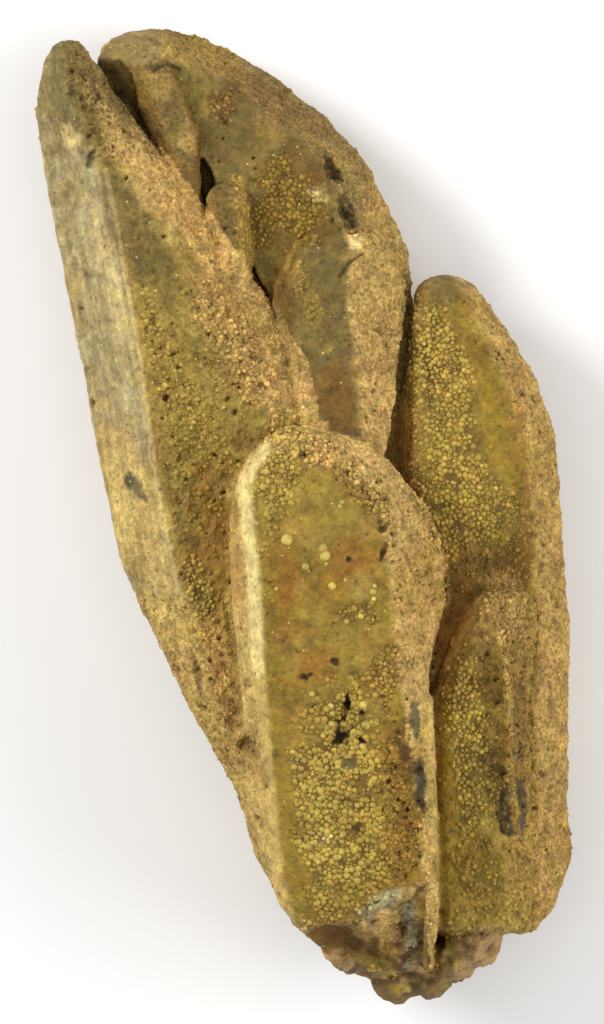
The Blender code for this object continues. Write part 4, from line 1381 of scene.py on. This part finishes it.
@dataclass
class CrystalCrust:
    """The crystals and their crust as one closed mesh, finest where it faces the front."""

    crust_map: CrustMap
    relief: CrustRelief
    finish: bpy.types.Material
    voxel: float = 0.18
    rounds: int = 6
    wide_rounds: int = 26
    triangle_limit: int = 198000
    merge_gap: float = 0.001
    lowest: float = 0.02
    rest_rise: tuple[float, float] = (0.2, 1.2)
    full_detail: tuple[float, float] = (-0.1, 0.35)
    detail_rise: tuple[float, float] = (5.0, 11.0)
    # Painted highlight with wear on ridges, painted shade with dust in creases.
    ridges: tuple[float, float] = (0.02, 0.12)
    ridge_wear_and_highlight: float = 0.30
    creases: tuple[float, float] = (0.05, 0.25)
    crease_dust_and_shade: float = 0.55
    globule_light: float = 1.14
    # Painted shade in the sunken places of the relief.
    sunk: tuple[float, float] = (0.12, 0.40)
    sunk_shade_share: float = 0.8
    hole_size: float = 1.2
    holes: tuple[float, float] = (-0.75, -0.35)
    # Painted shade in the bed between the globules.
    globule_gap_shade: tuple[float, float] = (0.75, 0.2)
    grainy: tuple[float, float] = (0.35, 0.85)
    # Painted shade in the bed between the grains.
    grain_gap_shade: float = 0.10
    grain_patch_size: float = 2.0
    grain_wobble: float = 0.3
    bead_rise: tuple[float, float] = (0.5, 1.5)
    bead_turn: tuple[float, float] = (-0.05, 0.25)
    hidden_density: float = 0.12
    hole_density: float = 0.25
    sunk_bareness: float = 0.8
    least_weight: float = 0.1
    weight_steps: float = 4.0
    hidden_pull: float = 2.0

    def build(self, node: bpy.types.Object) -> bpy.types.Object:
        """Builds the crust on a copy of the specimen's solid.

        Args:
            node: The solid, which isn't changed.

        Returns:
            The crust object.
        """
        form = self.merged_copy(node)
        remesh = form.modifiers.new("even_mesh", "REMESH")
        remesh.mode = "VOXEL"
        remesh.voxel_size = self.voxel * MM
        even = flat_copy(form, "even_form")
        bpy.data.objects.remove(form, do_unlink=True)
        self.shape(even)
        crust = self.thinned(even)
        bpy.data.objects.remove(even, do_unlink=True)
        self.dress(crust)
        return crust

    def merged_copy(self, node: bpy.types.Object) -> bpy.types.Object:
        """A copy of the solid with its loose triangles joined.

        Args:
            node: The solid, which isn't changed.

        Returns:
            The copy.
        """
        mesh = node.data.copy()
        mesh.transform(node.matrix_world)
        builder = bmesh.new()
        builder.from_mesh(mesh)
        bmesh.ops.remove_doubles(builder, verts=builder.verts, dist=self.merge_gap * MM)
        builder.to_mesh(mesh)
        builder.free()
        return linked("merged_form", mesh)

    def shape(self, even: bpy.types.Object) -> None:
        """Rounds the edges and raises the crust's relief.

        Args:
            even: The evenly meshed form, which is changed.
        """
        arrays = MeshArrays(even.data)
        points = arrays.smoothed(arrays.points(), self.rounds)
        arrays.move_to(points)
        normals = arrays.normals()
        wide = arrays.smoothed(points, self.wide_rounds)
        coating = self.crust_map.coating(points, normals)
        height = self.relief.heights(points / MM, coating)
        height *= eased(points[:, 2] / MM, *self.rest_rise)
        arrays.write_float("ridge", ((points - wide) * normals).sum(axis=1) / MM)
        arrays.write_float("relief", height + coating.depth)
        points = points + normals * (height * MM)[:, None]
        points[:, 2] = points[:, 2].clip(self.lowest * MM)
        arrays.move_to(points)
        LOG.info("shaped %d points of the crust", len(points))

    def thinned(self, even: bpy.types.Object) -> bpy.types.Object:
        """The shaped mesh with fewer triangles, most of them kept where it faces the front.

        Args:
            even: The shaped mesh.

        Returns:
            The thinner copy.
        """
        arrays = MeshArrays(even.data)
        points, normals = arrays.points(), arrays.normals()
        hidden = 1.0 - eased(normals[:, 2], *self.full_detail) * eased(points[:, 2] / MM, *self.detail_rise)
        group = even.vertex_groups.new(name="hidden")
        # A weight of 0 would keep a vertex whatever the ratio, so the least is above 0.
        stepped = np.round(hidden * self.weight_steps)
        levels = self.least_weight + (1.0 - self.least_weight) * stepped / self.weight_steps
        for level in np.unique(levels):
            group.add(np.nonzero(levels == level)[0].tolist(), float(level), "REPLACE")
        even.data.calc_loop_triangles()
        thin = even.modifiers.new("fewer_triangles", "DECIMATE")
        thin.ratio = min(1.0, self.triangle_limit / len(even.data.loop_triangles))
        thin.vertex_group = "hidden"
        thin.vertex_group_factor = self.hidden_pull
        thin.use_collapse_triangulate = True
        return flat_copy(even, "crystal_crust")

    def dress(self, crust: bpy.types.Object) -> None:
        """Keeps the crust's colours and densities on its mesh, and gives it its material.

        Args:
            crust: The thinned crust, which is changed.
        """
        arrays = MeshArrays(crust.data)
        points, normals = arrays.points(), arrays.normals()
        coating = self.crust_map.coating(points, normals)
        inner = points / MM
        relief, ridge = arrays.read_float("relief"), arrays.read_float("ridge")
        tint = coating.tint
        # Ridges are mixed toward light tan, partly wear and partly a painted highlight; creases are mixed
        # toward dark brown, partly dust and partly painted shade.
        mix(tint, Paint.LIGHT_TAN, self.ridge_wear_and_highlight * eased(ridge, *self.ridges) * (1.0 - coating.rock))
        mix(tint, Paint.DARK_BROWN, self.crease_dust_and_shade * eased(-ridge, *self.creases))
        arrays.write_color("bead_tint", tint * self.globule_light)
        # Painted shade: sunken places of the relief are mixed toward dark brown.
        sunk = eased(-relief, *self.sunk)
        mix(tint, Paint.DARK_BROWN, self.sunk_shade_share * sunk)
        holes = eased(Chance.waves(inner, self.hole_size, 83), *self.holes)
        # Painted shade: the bed under packed globules is mixed toward dark brown, less in the holes among
        # them.
        packed = np.maximum(coating.globules, coating.large) * coating.facing
        mix(tint, Paint.DARK_BROWN, packed * (self.globule_gap_shade[0] - self.globule_gap_shade[1] * holes))
        # Painted shade: where the crust is grainy and not packed with globules, the bed between the grains
        # is mixed a little toward brown.
        wobble = self.grain_wobble * Chance.swell(inner, self.grain_patch_size, 86)
        grainy = eased(coating.fine + wobble, *self.grainy)
        mix(tint, Paint.BROWN, self.grain_gap_shade * grainy * (1.0 - packed))
        above = eased(inner[:, 2], *self.bead_rise)
        turned = eased(normals[:, 2], *self.bead_turn)
        front = self.hidden_density + (1.0 - self.hidden_density) * turned * coating.facing
        whole = self.hole_density + (1.0 - self.hole_density) * holes
        arrays.write_color("tint", tint)
        kept = {
            "shade": np.full(len(points), 0.5),
            "large": coating.large * holes * above,
            "globules": coating.globules * whole * above * front,
            "fine": coating.fine,
            "grains": grainy * above * front * (1.0 - self.sunk_bareness * sunk),
            "specks": coating.pits,
            "grooves": coating.grooves,
        }
        for name, values in kept.items():
            arrays.write_float(name, values)
        crust.data.materials.clear()
        crust.data.materials.append(self.finish)
        crust.data.polygons.foreach_set("use_smooth", np.ones(len(crust.data.polygons), dtype=bool))


class BallShape(Enum):
    """How finely a globule is faceted."""

    CUBE_BALL = "24 square faces drawn out to a ball"
    PLAIN_BALL = "20 triangles"
    GRAIN = "8 triangles, as in a small crystal"


@dataclass
class GlobuleLayer:
    """Globules of one size, strewn over the crust by a node tree."""

    name: str
    density_name: str
    spacing: float
    radii: tuple[float, float]
    seed: int
    shape: BallShape
    finish: bpy.types.Material
    sinks: tuple[float, float] = (-0.1, 0.35)
    density: float = 30.0
    radius_power: float = 1.3

    def build(self, crust: bpy.types.Object) -> bpy.types.Object:
        """Strews the globules over a copy of the crust and makes them a plain mesh.

        Args:
            crust: The mesh that carries the density and tint attributes.

        Returns:
            The globules as one object.
        """
        holder = linked(f"{self.name}_holder", crust.data.copy())
        tree = self.tree()
        modifier = holder.modifiers.new("strewn_globules", "NODES")
        modifier.node_group = tree
        sizes = {"Spacing": self.spacing * MM, "Smallest radius": self.radii[0] * MM,
                 "Largest radius": self.radii[1] * MM, "Least sunk": self.sinks[0],
                 "Most sunk": self.sinks[1], "Density": self.density / (MM * MM), "Seed": self.seed}
        for item in tree.interface.items_tree:
            if item.in_out == "INPUT" and item.name in sizes:
                modifier[item.identifier] = sizes[item.name]
        made = flat_copy(holder, self.name)
        bpy.data.objects.remove(holder, do_unlink=True)
        return made

    def tree(self) -> bpy.types.NodeTree:
        """The node tree that strews the globules.

        Returns:
            A tree with named inputs for the sizes and the seed.
        """
        tree = bpy.data.node_groups.new(f"{self.name}_tree", "GeometryNodeTree")
        tree.interface.new_socket("Geometry", in_out="INPUT", socket_type="NodeSocketGeometry")
        for name in ("Spacing", "Smallest radius", "Largest radius", "Least sunk", "Most sunk", "Density"):
            tree.interface.new_socket(name, in_out="INPUT", socket_type="NodeSocketFloat")
        tree.interface.new_socket("Seed", in_out="INPUT", socket_type="NodeSocketInt")
        tree.interface.new_socket("Geometry", in_out="OUTPUT", socket_type="NodeSocketGeometry")
        wire = Wiring(tree)
        given = wire.add("NodeGroupInput").outputs
        points = self.strewn(wire, given)
        spin = wire.value("FunctionNodeRandomValue", {"Max": (math.tau, math.tau, math.tau)},
                          data_type="FLOAT_VECTOR")
        balls = wire.value("GeometryNodeInstanceOnPoints",
                           {"Points": points, "Instance": self.ball(wire), "Rotation": spin,
                            "Scale": wire.kept("ball_radius")})
        solid = wire.value("GeometryNodeRealizeInstances", {"Geometry": balls})
        smooth = wire.value("GeometryNodeSetShadeSmooth", {"Geometry": solid})
        coat = wire.value("GeometryNodeSetMaterial", {"Geometry": smooth, "Material": self.finish})
        wire.add("NodeGroupOutput", {"Geometry": coat})
        return tree

    def strewn(self, wire: Wiring, given: bpy.types.NodeOutputs) -> Socket:
        """The globules' middles, each with its radius, tint and shade.

        Args:
            wire: The tree that is being built.
            given: The tree's inputs.

        Returns:
            The points.
        """
        strew = wire.add("GeometryNodeDistributePointsOnFaces",
                         {"Mesh": given["Geometry"], "Distance Min": given["Spacing"],
                          "Density Max": given["Density"], "Density Factor": wire.kept(self.density_name),
                          "Seed": given["Seed"]}, distribute_method="POISSON")
        small = wire.math("POWER", self.random(wire, 0.0, 1.0, given["Seed"]), self.radius_power)
        radius = wire.value("ShaderNodeMapRange", {"Value": small, "To Min": given["Smallest radius"],
                                                   "To Max": given["Largest radius"]})
        sink = self.random(wire, given["Least sunk"], given["Most sunk"], given["Seed"])
        lower = wire.math("MULTIPLY", wire.math("MULTIPLY", radius, sink), -1.0)
        offset = wire.value("ShaderNodeVectorMath", {0: strew.outputs["Normal"], "Scale": lower},
                            operation="SCALE")
        points = wire.keep(strew.outputs["Points"], "tint", wire.kept("bead_tint", "FLOAT_COLOR"),
                           "FLOAT_COLOR")
        points = wire.keep(points, "ball_radius", radius)
        points = wire.keep(points, "shade", self.random(wire, 0.0, 1.0, 3))
        return wire.value("GeometryNodeSetPosition", {"Geometry": points, "Offset": offset})

    @staticmethod
    def random(wire: Wiring, low: Feed, high: Feed, seed: Feed) -> Socket:
        """A random number for each point.

        Args:
            wire: The tree that is being built.
            low: The smallest number, or the socket that gives it.
            high: The largest number, or the socket that gives it.
            seed: The seed, or the socket that gives it.

        Returns:
            The number.
        """
        node = wire.add("FunctionNodeRandomValue", data_type="FLOAT")
        for name, value in (("Min", low), ("Max", high), ("Seed", seed)):
            socket = next(found for found in node.inputs if found.enabled and found.name == name)
            if isinstance(value, Socket):
                wire.tree.links.new(value, socket)
            else:
                socket.default_value = value
        return next(output for output in node.outputs if output.enabled)

    def ball(self, wire: Wiring) -> Socket:
        """A ball of radius 1 with few faces.

        Args:
            wire: The tree that is being built.

        Returns:
            The ball's mesh.
        """
        if self.shape is BallShape.GRAIN:
            return wire.value("GeometryNodeMeshUVSphere", {"Radius": 1.0, "Segments": 4, "Rings": 2})
        if self.shape is BallShape.PLAIN_BALL:
            return wire.value("GeometryNodeMeshIcoSphere", {"Radius": 1.0, "Subdivisions": 1})
        sides = {"Vertices X": 3, "Vertices Y": 3, "Vertices Z": 3}
        block = wire.value("GeometryNodeMeshCube", {"Size": (2.0, 2.0, 2.0), **sides})
        where = wire.value("GeometryNodeInputPosition")
        outward = wire.value("ShaderNodeVectorMath", {0: where}, operation="NORMALIZE")
        return wire.value("GeometryNodeSetPosition", {"Geometry": block, "Position": outward})


@dataclass
class SingleGlobules:
    """The pale globules that stand by themselves on the front crystal."""

    finish: bpy.types.Material
    view: FrontView = field(default_factory=FrontView)
    sink: float = 0.45
    unevenness: float = 0.16
    uneven_size: float = 1.1
    darkest: float = 0.3
    shade_range: float = 0.5

    def build(self, crust: bpy.types.Object) -> bpy.types.Object:
        """Sets a ball on the crust at each of the chosen places.

        Args:
            crust: The mesh that the balls stand on.

        Returns:
            The balls as one object.
        """
        tree = BVHTree.FromObject(crust, bpy.context.evaluated_depsgraph_get())
        builder = bmesh.new()
        shades = []
        for across, down, radius in SINGLE_GLOBULES:
            point, normal, _, _ = tree.ray_cast(*self.view.ray(across, down))
            middle = point - normal * radius * self.sink * MM
            ball = bmesh.ops.create_icosphere(builder, subdivisions=2, radius=radius * MM)
            own = np.array([vertex.co[:] for vertex in ball["verts"]])
            uneven = 1.0 + self.unevenness * Chance.waves(own / (radius * MM) + across, self.uneven_size, 7)
            for vertex, share in zip(ball["verts"], uneven):
                vertex.co = middle + vertex.co * share
            shade = self.darkest + self.shade_range * (across * 7.0 % 1.0)
            shades += [shade] * len(ball["verts"])
        mesh = bpy.data.meshes.new("single_globules")
        builder.to_mesh(mesh)
        builder.free()
        made = linked("single_globules", mesh)
        arrays = MeshArrays(mesh)
        arrays.write_color("tint", np.tile(Paint.LEMON.light(), (len(mesh.vertices), 1)))
        arrays.write_float("shade", np.array(shades))
        arrays.write_float("fine", np.zeros(len(shades)))
        mesh.materials.append(self.finish)
        mesh.polygons.foreach_set("use_smooth", np.ones(len(mesh.polygons), dtype=bool))
        return made


@dataclass(frozen=True)
class SoftLight:
    """A square light that points at the specimen."""

    name: str
    place: tuple[float, float, float]
    size: float
    power: float

    def build(self) -> None:
        """Makes the light."""
        data = bpy.data.lights.new(self.name, "AREA")
        data.size = self.size
        data.energy = self.power
        made = linked(self.name, data)
        made.location = self.place
        made.rotation_euler = (-Vector(self.place)).to_track_quat("-Z", "Y").to_euler()


@dataclass
class Studio:
    """The floor, the lights and the camera."""

    view: FrontView = field(default_factory=FrontView)
    picture_across: float = 30.2
    picture_down: float = 51.2
    picture_height: float = 102.4
    sensor: float = 36.0
    surround: float = 0.34
    floor_size: float = 1.5
    floor_color: tuple[float, ...] = (0.95, 0.95, 0.95, 1.0)
    floor_roughness: float = 0.9
    lights: tuple[SoftLight, ...] = (
        SoftLight("key_light", (-0.38, 0.22, 0.32), 0.18, 2.05),
        SoftLight("top_light", (-0.05, 0.0, 0.62), 0.50, 0.80),
        SoftLight("fill_light", (0.44, -0.04, 0.30), 0.40, 1.75),
    )

    def build(self) -> None:
        """Makes the floor, the lights and the camera."""
        self.floor()
        for light in self.lights:
            light.build()
        self.surroundings()
        self.camera()

    def floor(self) -> None:
        """A plain pale floor."""
        builder = bmesh.new()
        bmesh.ops.create_grid(builder, x_segments=1, y_segments=1, size=self.floor_size)
        mesh = bpy.data.meshes.new("floor")
        builder.to_mesh(mesh)
        builder.free()
        floor = linked("floor", mesh)
        material = bpy.data.materials.new("pale_floor")
        material.use_nodes = True
        shader = material.node_tree.nodes["Principled BSDF"]
        shader.inputs["Base Color"].default_value = self.floor_color
        shader.inputs["Roughness"].default_value = self.floor_roughness
        mesh.materials.append(material)

    def surroundings(self) -> None:
        """Even white light from all round."""
        world = bpy.data.worlds.new("studio")
        world.use_nodes = True
        back = world.node_tree.nodes["Background"]
        back.inputs["Color"].default_value = (1.0, 1.0, 1.0, 1.0)
        back.inputs["Strength"].default_value = self.surround
        bpy.context.scene.world = world

    def camera(self) -> None:
        """The camera, straight above the specimen."""
        data = bpy.data.cameras.new("camera")
        data.sensor_width = self.sensor
        data.lens = self.sensor * self.view.eye_distance / self.picture_height
        made = linked("camera", data)
        across = (self.picture_across - self.view.middle_across) * MM
        along = (self.view.middle_down - self.picture_down) * MM
        height = (self.view.middle_height + self.view.eye_distance) * MM
        made.location = (across, along, height)
        bpy.context.scene.camera = made


def adopt(piece: bpy.types.Object) -> int:
    """Attaches the piece to the specimen's body, hides the specimen's solid, and reports the piece's
    triangles.

    Args:
        piece: A finished piece.

    Returns:
        How many triangles it has.
    """
    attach(piece, BODY)
    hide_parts(NODE)
    piece.data.calc_loop_triangles()
    count = len(piece.data.loop_triangles)
    LOG.info("%s: %d triangles", piece.name, count)
    return count


def main() -> None:
    """Builds the specimen and the studio."""
    logging.basicConfig(level=logging.INFO, format="%(name)s: %(message)s")
    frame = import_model()
    bpy.context.scene.view_settings.view_transform = "Standard"
    crust_finish = CrustFinish("ochre_crust_finish").build()
    grain_finish = CrustFinish("grain_finish", speckle=0.16, spread=0.24).build()
    globule_finish = CrustFinish("globule_finish", speckle=0.16, bump=0.4, roughness=(0.4, 0.7)).build()
    crust = CrystalCrust(CrustMap(), CrustRelief(), crust_finish).build(frame["nodes"][NODE])
    layers = (
        GlobuleLayer("large_globules", "large", 0.52, (0.23, 0.42), 5, BallShape.CUBE_BALL, globule_finish),
        GlobuleLayer("globules", "globules", 0.43, (0.19, 0.35), 6, BallShape.CUBE_BALL, globule_finish),
        GlobuleLayer("small_globules", "globules", 0.30, (0.10, 0.19), 8, BallShape.PLAIN_BALL,
                     grain_finish, density=60.0),
        GlobuleLayer("crust_grains", "grains", 0.42, (0.12, 0.22), 7, BallShape.PLAIN_BALL,
                     grain_finish, sinks=(0.1, 0.6), density=50.0),
        GlobuleLayer("fine_grains", "grains", 0.27, (0.07, 0.13), 9, BallShape.GRAIN, grain_finish,
                     density=60.0),
    )
    pieces = [crust, SingleGlobules(globule_finish).build(crust)]
    pieces += [layer.build(crust) for layer in layers]
    total = sum(adopt(piece) for piece in pieces)
    LOG.info("%d triangles in all", total)
    Studio().build()


if __name__ == "__main__":
    main()
